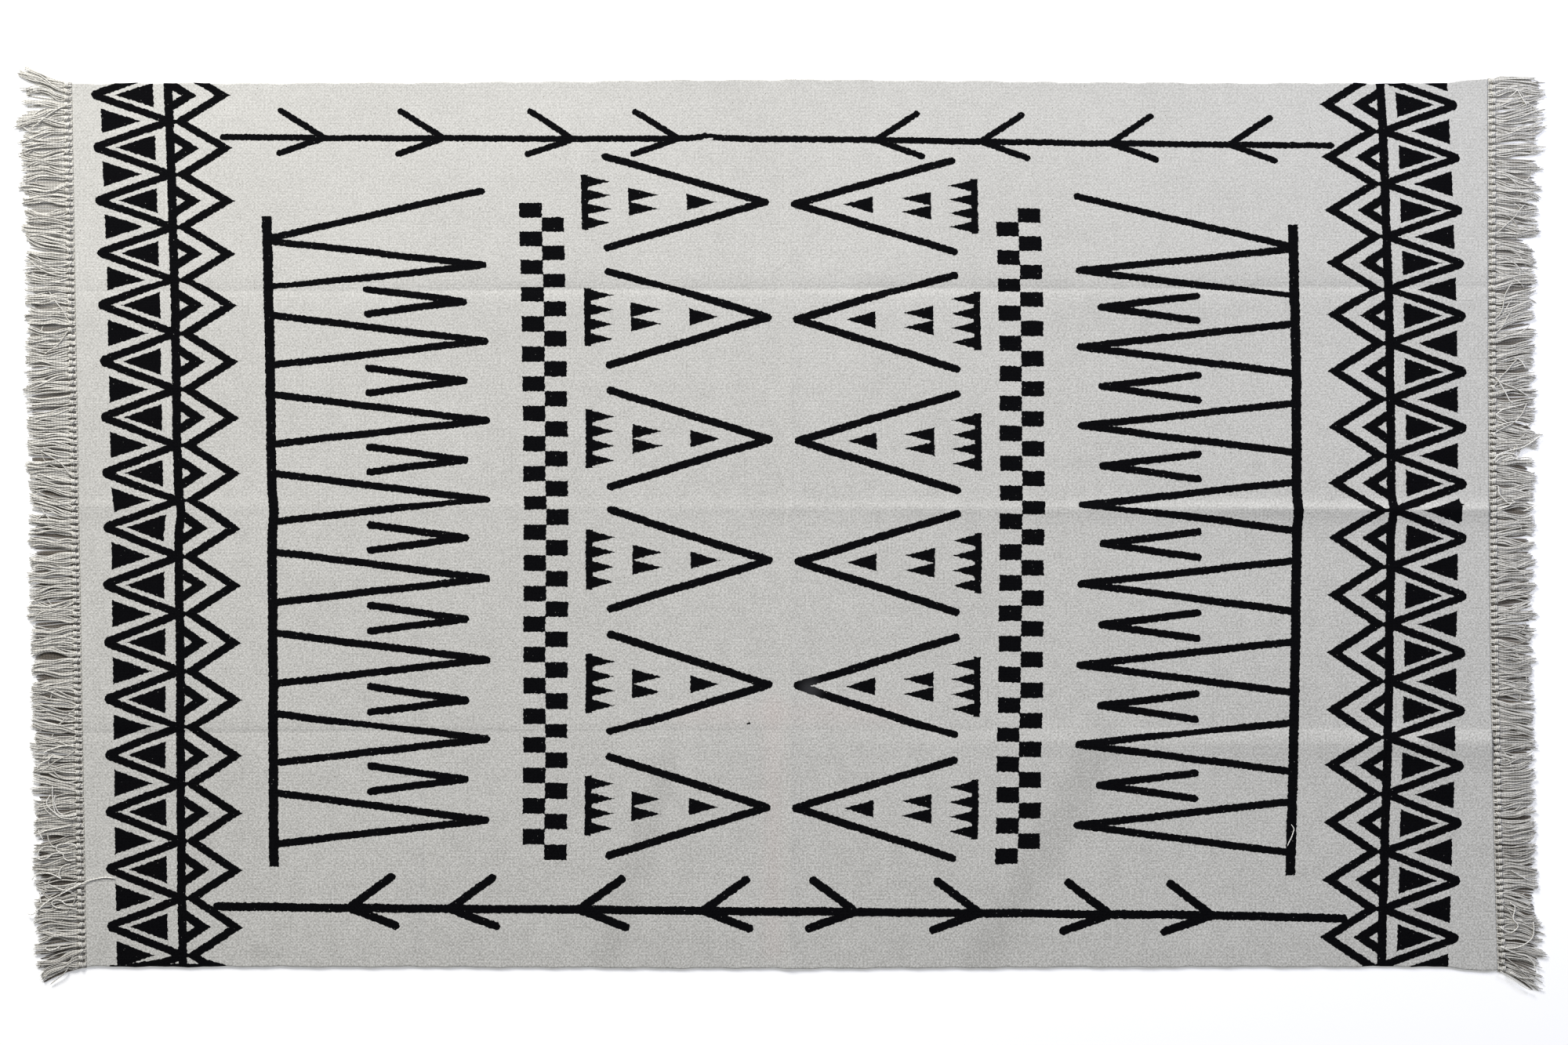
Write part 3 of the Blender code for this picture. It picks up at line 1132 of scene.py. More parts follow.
def tubes(name: str, paths: Array, radii: Array, tones: Array, sides: int) -> bpy.types.Object:
    """Makes many closed tubes of like build as one mesh.

    Each point of a path carries a ring. A ring's point stands off the path by the radius, along the
    cosine of its angle times the level side vector plus the sine times the vector square to both.

    Args:
        name: The piece's name.
        paths: The middle lines, as an array of tubes by points by three coordinates.
        radii: The radius at each point, as an array of tubes by points.
        tones: Numbers from 0 to 1, one for each tube or for each point, kept as an attribute.
        sides: How many sides a ring has.

    Returns:
        The object.
    """
    count, steps = radii.shape
    tangent = np.gradient(paths, axis=1)
    tangent /= np.linalg.norm(tangent, axis=2, keepdims=True)
    up = np.broadcast_to(np.array([0.0, 0.0, 1.0]), tangent.shape)
    side = np.cross(tangent, up)
    side /= np.maximum(np.linalg.norm(side, axis=2, keepdims=True), 1e-9)
    normal = np.cross(side, tangent)
    angle = 2 * math.pi * np.arange(sides) / sides
    ring = (
        np.cos(angle)[None, None, :, None] * side[:, :, None, :]
        + np.sin(angle)[None, None, :, None] * normal[:, :, None, :]
    )
    points = paths[:, :, None, :] + radii[:, :, None, None] * ring
    index = np.arange(count * steps * sides).reshape(count, steps, sides)
    after = np.roll(index, -1, axis=2)
    quads = np.stack([index[:, :-1], index[:, 1:], after[:, 1:], after[:, :-1]], axis=-1).reshape(-1, 4)
    caps = np.concatenate([index[:, 0], index[:, -1, ::-1]])
    mesh = bpy.data.meshes.new(name)
    mesh.from_pydata(points.reshape(-1, 3).tolist(), [], quads.tolist() + caps.tolist())
    length = np.concatenate(
        [np.zeros((count, 1)), np.cumsum(np.linalg.norm(np.diff(paths, axis=1), axis=2), axis=1)], axis=1
    )
    turn = np.arange(sides + 1) / sides
    low, high, near, far = np.broadcast_arrays(
        length[:, :-1, None], length[:, 1:, None], turn[None, None, :-1], turn[None, None, 1:]
    )
    along = np.stack([low, high, high, low], axis=-1)
    about = np.stack([near, near, far, far], axis=-1)
    corners = np.stack([along, about], axis=-1).reshape(-1, 2)
    corners = np.concatenate([corners, np.zeros((caps.size, 2))])
    layer = mesh.uv_layers.new(name=YARN_MAP)
    layer.data.foreach_set("uv", corners.astype(np.float32).ravel())
    tone = mesh.attributes.new(TONE, "FLOAT", "POINT")
    tones = np.broadcast_to(tones.reshape(count, -1), (count, steps))
    tone.data.foreach_set("value", np.repeat(tones, sides).astype(np.float32))
    return smooth_object(name, mesh)


def smooth_path(points: Array, steps: int) -> Array:
    """Runs a Catmull-Rom curve through points.

    Between each two of them lies a cubic, and the slope at a point is half the way between its two
    neighbours.

    Args:
        points: The points that it passes.
        steps: How many points it gets.

    Returns:
        The points of the curve.
    """
    padded = np.concatenate([2 * points[:1] - points[1:2], points, 2 * points[-1:] - points[-2:-1]])
    # It stops a hair before the last point, which has no cubic after it
    share = np.linspace(0.0, len(points) - 1.000001, steps)
    piece = share.astype(int)
    t = (share - piece)[:, None]
    before, start, end, after = (padded[piece + offset] for offset in range(4))
    bend_start = (end - before) / 2 * (t**3 - 2 * t**2 + t)
    bend_end = (after - start) / 2 * (t**3 - t**2)
    return start * (2 * t**3 - 3 * t**2 + 1) + end * (3 * t**2 - 2 * t**3) + bend_start + bend_end


def bell(distance: Array, reach: float) -> Array:
    """A bell curve: 1 at distance 0, and nearly gone at twice the reach."""
    return np.exp(-((distance / reach) ** 2))


@dataclass(frozen=True)
class ClothOutline:
    """The flat outline of the cloth. Its four edges aren't quite straight."""

    length: float = 2.385
    width: float = 1.500
    left_slant: float = 0.0125
    right_corner_pull: float = 0.0170
    top_bow: float = 0.0060
    bottom_bow: float = 0.0030
    bow_reach: float = 0.45
    corner_flare: float = 0.0070
    corner_flare_reach: float = 0.050

    def left_end(self, across: Array) -> Array:
        """Where the left end stands along X, for across from -1 at the lower edge to 1 at the upper one."""
        return -self.length / 2 - self.left_slant * across

    def right_end(self, across: Array) -> Array:
        """Where the right end stands along X: straight, but for its lower corner, which was pulled out."""
        return self.length / 2 + self.right_corner_pull * (((1 - across) / 2) ** 3 - 0.1)

    def place(self, along: Array, across: Array) -> tuple[Array, Array]:
        """The flat place of points of the cloth.

        X runs evenly from one end to the other. Y is the share of the half width, which is bowed out
        by a bell curve in the middle and flared by another at the right corners.

        Args:
            along: Shares from -1 at the left end to 1 at the right one.
            across: Shares from -1 at the lower edge to 1 at the upper one.

        Returns:
            X and Y.
        """
        start, end = self.left_end(across), self.right_end(across)
        x = start + (end - start) * (along + 1) / 2
        bow = np.where(across > 0, self.top_bow, self.bottom_bow)
        flare = self.corner_flare * bell(self.length / 2 - x, self.corner_flare_reach)
        half = self.width / 2 - bow / 2 + bow * bell(x, self.bow_reach) + flare
        return x, across * half


@dataclass(frozen=True)
class Crease:
    """A soft ridge that a fold has left along one axis, or a trough where its height is negative."""

    place: float
    heights: tuple[float, float, float]
    foot_before: float
    foot_after: float
    slope: float = 0.0
    shoulder: float = 0.0
    shoulder_reach: float = 0.060
    tip: float = 0.0012
    wander: float = 0.0012
    wander_turns: tuple[float, float] = (7.3, 2.9)
    uneven_turns: tuple[float, float] = (9.1, 23.0)
    phase: float = 0.0

    def lift(self, across: Array, along: Array, half_length: float) -> Array:
        """How much the crease adds to the cloth's height.

        The height is that of the crest times e to the power of minus the distance from it, in foot
        widths, with the crest rounded by the tip. The two feet may differ. The crest's line slopes and
        wanders slightly, and its height runs smoothly from one end over the middle to the other, a
        little unevenly. A trough has a low, wide shoulder on both sides.

        Args:
            across: The coordinate that the crease stands at.
            along: The coordinate that it runs along.
            half_length: Half the cloth's size along the crease.

        Returns:
            The height at each point.
        """
        turns, slow_turns = self.wander_turns
        wave = np.sin(turns * along + self.phase) * np.cos(slow_turns * along + 2 * self.phase)
        line = self.place + self.slope * along + self.wander * wave
        first, middle, last = self.heights
        share = along / half_length
        height = middle + (last - first) / 2 * share + ((last + first) / 2 - middle) * share**2
        long_turns, short_turns = self.uneven_turns
        uneven = 0.85 + 0.15 * np.sin(long_turns * along + 3 * self.phase)
        uneven = uneven + 0.12 * np.sin(short_turns * along + self.phase)
        away = across - line
        foot = np.where(away < 0, self.foot_before, self.foot_after)
        ridge = height * uneven * np.exp(-(np.sqrt(away**2 + self.tip**2) - self.tip) / foot)
        return ridge + self.shoulder * bell(away, self.shoulder_reach)


@dataclass(frozen=True)
class RugCloth:
    """The cloth: one woven length with soft creases, rounded selvedges and a print on its upper face."""

    outline: ClothOutline = ClothOutline()
    thickness: float = 0.0035
    creases_across: tuple[Crease, ...] = (
        Crease(-0.606, (-0.0026, -0.0008, 0.0003), 0.020, 0.026, shoulder=0.0010, phase=0.4),
        Crease(0.010, (0.0026, 0.0015, 0.0012), 0.012, 0.020, phase=1.9),
        Crease(0.603, (0.0012, 0.0007, 0.0002), 0.014, 0.012, phase=3.1),
    )
    creases_along: tuple[Crease, ...] = (
        Crease(-0.3480, (-0.0016, -0.0004, 0.0), 0.014, 0.007, slope=0.0045, shoulder=0.0005, phase=0.9),
        Crease(-0.3447, (0.0, 0.0, -0.0020), 0.012, 0.045),
        Crease(-0.3700, (0.0, 0.0002, 0.0046), 0.022, 0.014, tip=0.0100, phase=3.3),
        Crease(0.0285, (0.0011, 0.0013, 0.0064), 0.015, 0.0060, slope=-0.0026, tip=0.0065, phase=2.2),
        Crease(0.3980, (-0.0007, -0.0025, -0.0016), 0.011, 0.013, slope=0.0030, shoulder=0.0013, phase=4.0),
        Crease(0.7620, (0.0016, 0.0016, 0.0020), 0.030, 0.030, phase=5.1),
    )
    columns: int = 240
    rows: int = 184
    crease_density: float = 6.0
    crease_reach: float = 0.022
    rim_steps: tuple[float, ...] = (0.00035, 0.00100, 0.00180, 0.00400)
    selvedge_wave: float = 0.0007
    selvedge_reach: float = 0.02
    base: float = 0.0013
    swell_share: float = 0.22
    edge_base: float = 0.0003
    edge_fall: float = 0.050

    def lines(self, length: float, creases: tuple[Crease, ...], count: int) -> Array:
        """Shares from -1 to 1 for the lines of the mesh: close at the rims and creases, wider elsewhere.

        A density, 1 everywhere and several times as high at a crease, is added up along the length,
        and equal steps of that sum give the lines.

        Args:
            length: The cloth's size along this axis.
            creases: The creases that lie across this axis.
            count: How many lines there are besides those at the rims.

        Returns:
            The shares, in rising order.
        """
        half = length / 2
        rims = 1 - np.array(self.rim_steps) / half
        fine = np.linspace(-rims[-1], rims[-1], 4001)
        density = 1 + sum(
            self.crease_density * bell(fine * half - crease.place, self.crease_reach) for crease in creases
        )
        total = np.concatenate([[0.0], np.cumsum((density[1:] + density[:-1]) / 2)])
        inner = np.interp(np.linspace(0, total[-1], count), total, fine)
        return np.concatenate([[-1.0], -rims[:-1], inner, rims[:-1][::-1], [1.0]])

    def floor_gap(self, x: Array, y: Array) -> Array:
        """How high the underside stands over the floor.

        The panels between the creases are slightly crowned, with long, shallow swells, and come down
        to the floor at the long edges. The creases are added to that.

        Args:
            x: The place along the rug.
            y: The place across it.

        Returns:
            The height, which is never below the floor.
        """
        swell = np.sin(5.1 * x + 1.3 * y) * np.sin(6.7 * y - 1.1 * x + 0.6)
        swell = swell + 0.6 * np.sin(11.9 * x - 3.7 * y + 2.0)
        ripple = 0.35 * np.sin(31 * x + 9 * np.sin(3 * y)) * np.sin(23 * y + 5 * np.sin(4 * x))
        from_edge = self.outline.width / 2 - np.abs(y)
        fall = 1 - np.exp(-np.clip(from_edge, 0.0, None) / self.edge_fall)
        base = self.edge_base + (self.base - self.edge_base) * fall
        height = base * (1 + self.swell_share * (swell + ripple))
        height = height + sum(c.lift(x, y, self.outline.width / 2) for c in self.creases_across)
        height = height + sum(c.lift(y, x, self.outline.length / 2) for c in self.creases_along)
        return np.maximum(height, 0.0)

    def build(self) -> bpy.types.Object:
        """Makes the closed sheet.

        Two grids lie half the thickness above and below the middle surface. At the rim the thickness
        falls to nothing along a half circle, so that both grids meet in one line of shared points.

        Returns:
            The cloth's object.
        """
        along = self.lines(self.outline.length, self.creases_across, self.columns)
        across = self.lines(self.outline.width, self.creases_along, self.rows)
        grid_along, grid_across = np.meshgrid(along, across, indexing="ij")
        x, y = self.outline.place(grid_along, grid_across)
        from_end = (1 - np.abs(grid_along)) * self.outline.length / 2
        from_edge = (1 - np.abs(grid_across)) * self.outline.width / 2
        edge = bell(from_edge, self.selvedge_reach) * np.sign(grid_across)
        wave = np.sin(61 * x) + 0.7 * np.sin(143 * x + 1.0) + 0.5 * np.sin(23 * x)
        y = y + self.selvedge_wave * edge * wave
        rim = np.minimum(from_end, from_edge)
        half = self.thickness / 2
        inset = np.clip(1 - rim / half, 0.0, 1.0)
        half_here = half * np.sqrt(1 - inset**2)
        middle = self.floor_gap(x, y) + half
        shape = x.shape
        top = np.arange(x.size).reshape(shape)
        inner = np.zeros(shape, bool)
        inner[1:-1, 1:-1] = True
        under = top.copy()
        under[inner] = x.size + np.arange(inner.sum())
        upper = np.stack([x, y, middle + half_here], axis=-1)
        lower = np.stack([x, y, middle - half_here], axis=-1)
        points = np.concatenate([upper.reshape(-1, 3), lower[inner]])
        faces = []
        for grid, step in ((top, 1), (under, -1)):
            corners = [grid[:-1, :-1], grid[1:, :-1], grid[1:, 1:], grid[:-1, 1:]]
            faces.append(np.stack(corners, axis=-1).reshape(-1, 4)[:, ::step])
        quads = np.concatenate(faces)
        mesh = bpy.data.meshes.new("cloth_sheet")
        mesh.from_pydata(points.tolist(), [], quads.tolist())
        layer = mesh.uv_layers.new(name=FLAT_MAP)
        layer.data.foreach_set("uv", points[quads.ravel(), :2].astype(np.float32).ravel())
        mesh.polygons.foreach_set("material_index", np.repeat([0, 1], len(quads) // 2).astype(np.int32))
        return smooth_object("cloth_sheet", mesh)

    def dress(self, cloth: bpy.types.Object, finish: WovenCotton, design: PrintedDesign) -> None:
        """Gives the upper face its printed finish and the underside its bare one.

        Args:
            cloth: The cloth's object.
            finish: The woven cotton.
            design: The print.
        """
        for face in Face:
            cloth.data.materials.append(finish.material(face, design))


class End(Enum):
    """The two ends of the rug, by the way that a fringe runs out from them along X."""

    LEFT = -1
    RIGHT = 1


@dataclass(frozen=True)
class Wave:
    """One of the long waves in which the tips of the fringe lean to and fro."""

    reach: float
    length: float


@dataclass(frozen=True)
class Gather:
    """A place where the tips of nearby locks are drawn together, or apart where the pull is negative.

    The steepness makes the greatest move equal to the pull.
    """

    place: float
    width: float
    pull: float
    steepness: float = 2.33

    def lean(self, y: Array) -> Array:
        """How far tips are moved along Y: towards the place, and most at 0.7 widths from it.

        Args:
            y: The place of each root.

        Returns:
            The move, which is the pull and the steepness times -d times a bell curve, d being the
            distance in widths.
        """
        away = (y - self.place) / self.width
        return -self.pull * self.steepness * away * np.exp(-(away**2))


@dataclass(frozen=True)
class Snarl:
    """A place where locks reach less far and may curl, or further where the shortening is negative."""

    place: float
    width: float
    shortening: float
    curl: float


class Layer(Enum):
    """The two layers of yarns: the upper ones show, and the lower ones lie in their shade."""

    UPPER = "yarns"
    LOWER = "shaded_yarns"


@dataclass(frozen=True)
class Fringe:
    """The fringe of one end: warp yarns knotted in locks, and the twined pair of wefts that they leave."""

    end: End
    length: float
    upper_extra: float
    upper_spread: float
    lower_spread: float
    seed: int
    phase: float
    gathers: tuple[Gather, ...] = ()
    snarls: tuple[Snarl, ...] = ()
    loose: tuple[tuple[tuple[float, float], ...], ...] = ()
    outline: ClothOutline = ClothOutline()
    locks: int = 134
    corner_margin: float = 0.0040
    length_jitter: float = 0.0024
    tip_skew: float = 0.0018
    mesh_gap: float = 0.0003
    rest_gap: float = 0.0001
    band_depth: float = 0.0030
    waves: tuple[Wave, ...] = (Wave(0.0080, 0.41), Wave(0.0028, 0.153), Wave(0.0010, 0.071))
    corner_reach: float = 0.045
    lean_power: float = 1.4
    # Tufts
    tuft_spacing: float = 0.033
    tuft_depth: float = 0.0070
    tuft_pull: float = 0.0036
    tuft_width: float = 0.5
    tuft_clearance: float = 0.018
    tuft_start: float = 0.28
    tuft_rise: float = 0.18
    least_tuft: float = 0.15
    tuft_scatter: float = 0.28
    tuft_pulls: tuple[float, float] = (0.1, 1.2)
    tuft_widths: tuple[float, float] = (0.7, 1.2)
    flank_share: float = 1.5
    # Yarns of the upper layer
    upper_yarns: int = 8
    yarn_radius: float = 0.00108
    yarn_sizes: tuple[float, float] = (0.88, 1.14)
    yarn_steps: int = 18
    yarn_sides: int = 5
    yarn_tones: tuple[float, float] = (0.80, 1.0)
    dull_share: float = 0.10
    dull_loss: float = 0.28
    # Painted shade, which darkens the yarns towards the lower edge
    painted_shade_start: float = 0.2
    painted_shade_loss: float = 0.26
    lock_scatter: float = 0.0018
    yarn_scatter: float = 0.0017
    short_share: float = 0.04
    shortfall: float = 0.014
    # Yarns of the lower layer, which lie in the shade and whose dark tones are painted shade
    lower_yarns: int = 5
    shaded_radius: float = 0.00130
    shaded_steps: int = 10
    shaded_sides: int = 4
    shaded_shortening: float = 0.0065
    shaded_scatter: float = 0.0035
    shaded_turn: float = 0.03
    shaded_lean: float = 0.93
    shaded_snarl: float = 0.006
    shaded_snarl_width: float = 1.2
    shaded_tones: tuple[float, float] = (0.0, 0.15)
    root_light: float = 0.20
    root_light_reach: float = 0.012
    painted_light_share: float = 0.55
    # How a lock opens behind its knot, sways and settles
    tuck: float = 0.0030
    fan: float = 0.0050
    opening_reach: tuple[float, ...] = (-0.003, 0.002, 0.0085, 0.0115, 0.018, 0.060, 0.090)
    opening: tuple[float, ...] = (0.50, 0.45, 0.50, 0.80, 1.0, 1.05, 0.90)
    kept_seat: float = 0.9
    seat_scatter: float = 0.32
    reseat_start: float = 0.012
    reseat_reach: float = 0.050
    lock_sway: float = 0.20
    lock_waves: tuple[tuple[float, float], ...] = ((0.55, 1.0), (1.2, 0.8), (2.3, 0.45))
    yarn_sway: float = 0.06
    yarn_waves: tuple[float, ...] = (1.1, 2.3)
    curl_scatter: float = 0.13
    stray_share: float = 0.030
    stray_curl: tuple[float, float] = (0.8, 2.4)
    wanderer_share: float = 0.010
    wanderer_slant: tuple[float, float] = (0.35, 0.95)
    wanderer_rise: float = 1.2
    neck_height: float = 0.0036
    neck_step: float = 0.0008
    tuck_drop: float = 0.0010
    lying_height: float = 0.0030
    lying_step: float = 0.0011
    lying_dome: float = 0.0008
    tip_drop: float = 0.0022
    bounce: float = 0.0004
    settle_start: float = 0.008
    settle_reach: float = 0.018
    # Knots
    knot_reach: float = 0.0055
    knot_half_width: float = 0.0036
    knot_half_height: float = 0.0024
    knot_middle: float = 0.0040
    knot_pitch: float = 0.0030
    knot_sizes: tuple[float, float] = (0.90, 1.06)
    knot_tilts: tuple[float, float] = (0.25, 0.60)
    crossed_share: float = 0.2
    knot_scatter: float = 0.0004
    wrap_radius: float = 0.00150
    wrap_turns: float = 2.15
    wrap_steps: int = 26
    wrap_sides: int = 6
    # Twined wefts
    twine_pitch: float = 0.0112
    twine_radius: float = 0.00085
    twine_step: float = 0.0020
    twine_height: float = 0.0024
    twine_place: float = 0.0009
    twine_swing: float = 1.05
    twine_flatness: float = 0.6
    twine_tones: tuple[float, float] = (0.94, 1.0)
    # Loose yarns
    loose_radius: float = 0.00085
    loose_sizes: tuple[float, float] = (0.85, 1.1)
    loose_tones: tuple[float, float] = (0.88, 1.0)
    loose_reach: tuple[float, ...] = (-0.010, 0.0, 0.008, 0.015, 0.045, 0.085)
    loose_height: tuple[float, ...] = (0.0062, 0.0074, 0.0090, 0.0082, 0.0076, 0.0054)
    loose_steps: int = 30

    def end_x(self, y: Array) -> Array:
        """Where the cloth's end stands along X at a place across the rug."""
        across = np.clip(y / (self.outline.width / 2), -1.02, 1.02)
        return self.outline.left_end(across) if self.end is End.LEFT else self.outline.right_end(across)

    def lean(self, y: Array) -> Array:
        """How far a lock's tip lies along Y from its root: long waves, and a spread at both corners."""
        wave = sum(
            term.reach * np.sin(2 * math.pi * y / term.length + self.phase * (number + 1))
            for number, term in enumerate(self.waves)
        )
        half = self.outline.width / 2
        upper = self.upper_spread * np.exp((y - half) / self.corner_reach)
        lower = self.lower_spread * np.exp((-y - half) / self.corner_reach)
        return wave + upper - lower

    def tuft_share(self, y: Array) -> Array:
        """How strong the tufts are: full in the upper part of the rug, and weak below it."""
        return np.clip((y - self.tuft_start) / self.tuft_rise, self.least_tuft, 1.0)

    def tufts(self) -> list[Gather]:
        """Small gathers all along the end, but for places near the listed ones."""
        chance = np.random.default_rng(self.seed + 7)
        half = self.outline.width / 2
        places = np.arange(-half, half, self.tuft_spacing)
        scatter = chance.uniform(-self.tuft_scatter, self.tuft_scatter, places.size)
        places = places + scatter * self.tuft_spacing
        pulls = self.tuft_pull * chance.uniform(*self.tuft_pulls, places.size) * self.tuft_share(places)
        widths = self.tuft_width * self.tuft_spacing * chance.uniform(*self.tuft_widths, places.size)
        by_hand = np.array([gather.place for gather in self.gathers])
        free = np.abs(places[:, None] - by_hand).min(axis=1) > self.tuft_clearance
        return [Gather(*values) for values in zip(places[free], widths[free], pulls[free])]

    def all_gathers(self) -> list[Gather]:
        """The listed gathers and the small ones between them."""
        return list(self.gathers) + self.tufts()

    def cut_back(self, y: Array) -> Array:
        """How much less far a yarn reaches at the rim of its tuft.

        It is a depth times the square of the distance from the tuft's middle, in half spacings. Where
        the locks are parted, the two flanks count as tufts.

        Args:
            y: The place of each yarn across the rug.

        Returns:
            What comes off each yarn's length.
        """
        gathers = self.all_gathers()
        middles = [gather.place for gather in gathers if gather.pull > 0.0]
        for gather in gathers:
            if gather.pull < 0.0:
                flank = self.flank_share * gather.width
                middles += [gather.place - flank, gather.place + flank]
        nearest = np.abs(y[:, None] - np.array(middles)).min(axis=1)
        share = np.clip(2 * nearest / self.tuft_spacing, 0.0, 1.0) ** 2
        return self.tuft_depth * self.tuft_share(y) * share

    def roots(self) -> Array:
        """The place across the rug of each lock's root, in even steps from corner to corner."""
        share = np.array([-1.0, 1.0])
        _, corners = self.outline.place(np.full(2, float(self.end.value)), share)
        return np.linspace(corners[0] + self.corner_margin, corners[1] - self.corner_margin, self.locks)

    def lock_lengths(self, y: Array) -> Array:
        """How long each lock is: the mean, more towards the upper corner, and a little chance.

        The chance is drawn as for the solid locks, with a skewed tip after each length.

        Args:
            y: The place of each root.

        Returns:
            The lengths.
        """
        chance = random.Random(self.seed)
        jitter = np.empty(self.locks)
        for number in range(self.locks):
            jitter[number] = chance.uniform(-self.length_jitter, self.length_jitter)
            chance.choice((-self.tip_skew, self.tip_skew))
        return self.length + self.upper_extra * y / (self.outline.width / 2) + jitter

    def name(self, what: str) -> str:
        """The name of a piece of this fringe."""
        return f"fringe_{self.end.name.lower()}_{what}"

    def lock_headings(self, roots: Array, lengths: Array, s: Array, chance: np.random.Generator) -> Array:
        """Which way each lock runs, as an angle off the X axis.

        It is the slope of lean times s to the power of lean_power, and on it three slow sine waves.

        Args:
            roots: The place of each root.
            lengths: The length of each lock.
            s: The shares of the length at which it is worked out.
            chance: Where the waves' phases and sizes come from.

        Returns:
            The angles, as locks by steps.
        """
        lean = self.lean(roots) + sum(gather.lean(roots) for gather in self.all_gathers())
        heading = (lean / lengths)[:, None] * self.lean_power * s ** (self.lean_power - 1)
        for turns, share in self.lock_waves:
            phase = chance.uniform(0, 2 * math.pi, (roots.size, 1))
            size = self.lock_sway * share * chance.uniform(0.3, 1.3, (roots.size, 1))
            heading = heading + size * np.minimum(1.0, 6 * s) * np.sin(2 * math.pi * turns * s + phase)
        return heading

    def run(self, heading: Array, s: Array, length: Array) -> tuple[Array, Array]:
        """Adds up small steps along a heading.

        Args:
            heading: The angle at each point, as yarns by points.
            s: The shares of the length.
            length: The length of each yarn, as a column.

        Returns:
            How far each point is from the root along X and along Y.
        """
        step = np.diff(s, axis=1) * (length + self.tuck)
        middle = (heading[:, 1:] + heading[:, :-1]) / 2
        start = np.zeros((length.size, 1))
        forward = np.concatenate([start, np.cumsum(step * np.cos(middle), axis=1)], axis=1)
        sideways = np.concatenate([start, np.cumsum(step * np.sin(middle), axis=1)], axis=1)
        return forward - self.tuck, sideways

    def build_upper(self) -> bpy.types.Object:
        """Makes the yarns that show.

        A yarn starts under the cloth's end, passes through its knot and runs out with its lock. It has
        a seat in the lock, from which it slowly moves to another, and a little sway of its own. Strays
        curl at the tip, and wanderers lie slantwise over their neighbours.

        Returns:
            The object.
        """
        chance = np.random.default_rng(self.seed)
        roots = self.roots()
        per_lock = self.upper_yarns
        count = roots.size * per_lock
        s = np.linspace(0.0, 1.0, self.yarn_steps)[None, :] ** 1.12
        lock_length = self.lock_lengths(roots)
        heading = np.repeat(self.lock_headings(roots, lock_length, s, chance), per_lock, axis=0)
        y_root = np.repeat(roots, per_lock)
        length = np.repeat(lock_length + chance.normal(0.0, self.lock_scatter, roots.size), per_lock)
        length = length + chance.normal(0.0, self.yarn_scatter, count)
        length = length - self.shortfall * (chance.random(count) < self.short_share)
        curl = chance.normal(0.0, self.curl_scatter, count)
        strays = chance.random(count) < self.stray_share
        side = chance.choice([-1.0, 1.0], strays.sum())
        curl[strays] += side * chance.uniform(*self.stray_curl, strays.sum())
        seat = np.tile(np.linspace(-1.0, 1.0, per_lock), self.locks)
        length = length - self.cut_back(y_root + seat * self.fan)
        for snarl in self.snarls:
            share = bell(y_root - snarl.place, snarl.width)
            length = length - snarl.shortening * share * chance.uniform(0.0, 1.0, count)
            curl = curl + snarl.curl * share * chance.uniform(0.3, 1.0, count)
        wanderers = chance.random(count) < self.wanderer_share
        slant = chance.choice([-1.0, 1.0], count) * chance.uniform(*self.wanderer_slant, count)
        slant = np.where(wanderers, slant, 0.0)
        for turns in self.yarn_waves:
            phase = chance.uniform(0, 2 * math.pi, (count, 1))
            size = self.yarn_sway * chance.uniform(0.3, 1.5, (count, 1))
            heading = heading + size * np.minimum(1.0, 5 * s) * np.sin(2 * math.pi * turns * s + phase)
        heading = heading + curl[:, None] * s**2.6 + slant[:, None] * np.minimum(1.0, 4 * s)
        reach, sideways = self.run(heading, s, length[:, None])
        end_seat = seat * self.kept_seat + chance.normal(0.0, self.seat_scatter, count)
        opened = np.interp(reach, self.opening_reach, self.opening)
        blend = np.clip((reach - self.reseat_start) / self.reseat_reach, 0.0, 1.0)
        place = (seat[:, None] * (1 - blend) + end_seat[:, None] * blend) * opened * self.fan
        x = self.end_x(y_root)[:, None] + self.end.value * (self.mesh_gap + self.band_depth + reach)
        y = y_root[:, None] + sideways + place
        order = chance.permuted(np.tile(np.arange(per_lock), (self.locks, 1)), axis=1).ravel()
        layer = (order % 3)[:, None] + self.wanderer_rise * wanderers[:, None]
        settle = np.clip((reach - self.settle_start) / self.settle_reach, 0.0, 1.0)
        settle = settle * settle * (3 - 2 * settle)
        dome = self.lying_dome * np.cos(0.5 * math.pi * np.clip(place / self.fan, -1.0, 1.0))
        high = self.neck_height + (layer - 1) * self.neck_step
        high = high - self.tuck_drop * np.clip(-reach / self.tuck, 0.0, 1.0)
        low = self.lying_height + layer * self.lying_step + dome - self.tip_drop * s**4
        bounce = self.bounce * np.sin(2 * math.pi * (1.7 * s + chance.random((count, 1))))
        z = high * (1 - settle) + (low + bounce) * settle
        radius = self.yarn_radius * chance.uniform(*self.yarn_sizes, (count, 1)) * np.ones_like(s)
        radius = radius * np.interp(s, [0.0, 0.94, 1.0], [1.0, 0.95, 0.45])
        z = np.maximum(z, radius + self.rest_gap)
        tones = chance.uniform(*self.yarn_tones, count)
        tones = tones - self.dull_loss * (chance.random(count) < self.dull_share)
        # Painted shade: yarns towards the lower edge are darkened, each by a random share
        painted_shade = np.clip(self.painted_shade_start - y_root / self.outline.width * 2, 0.0, 1.0)
        tones = tones - self.painted_shade_loss * chance.random(count) * painted_shade
        paths = np.stack([x, y, z], axis=-1)
        return tubes(self.name(Layer.UPPER.value), paths, radius, tones, self.yarn_sides)

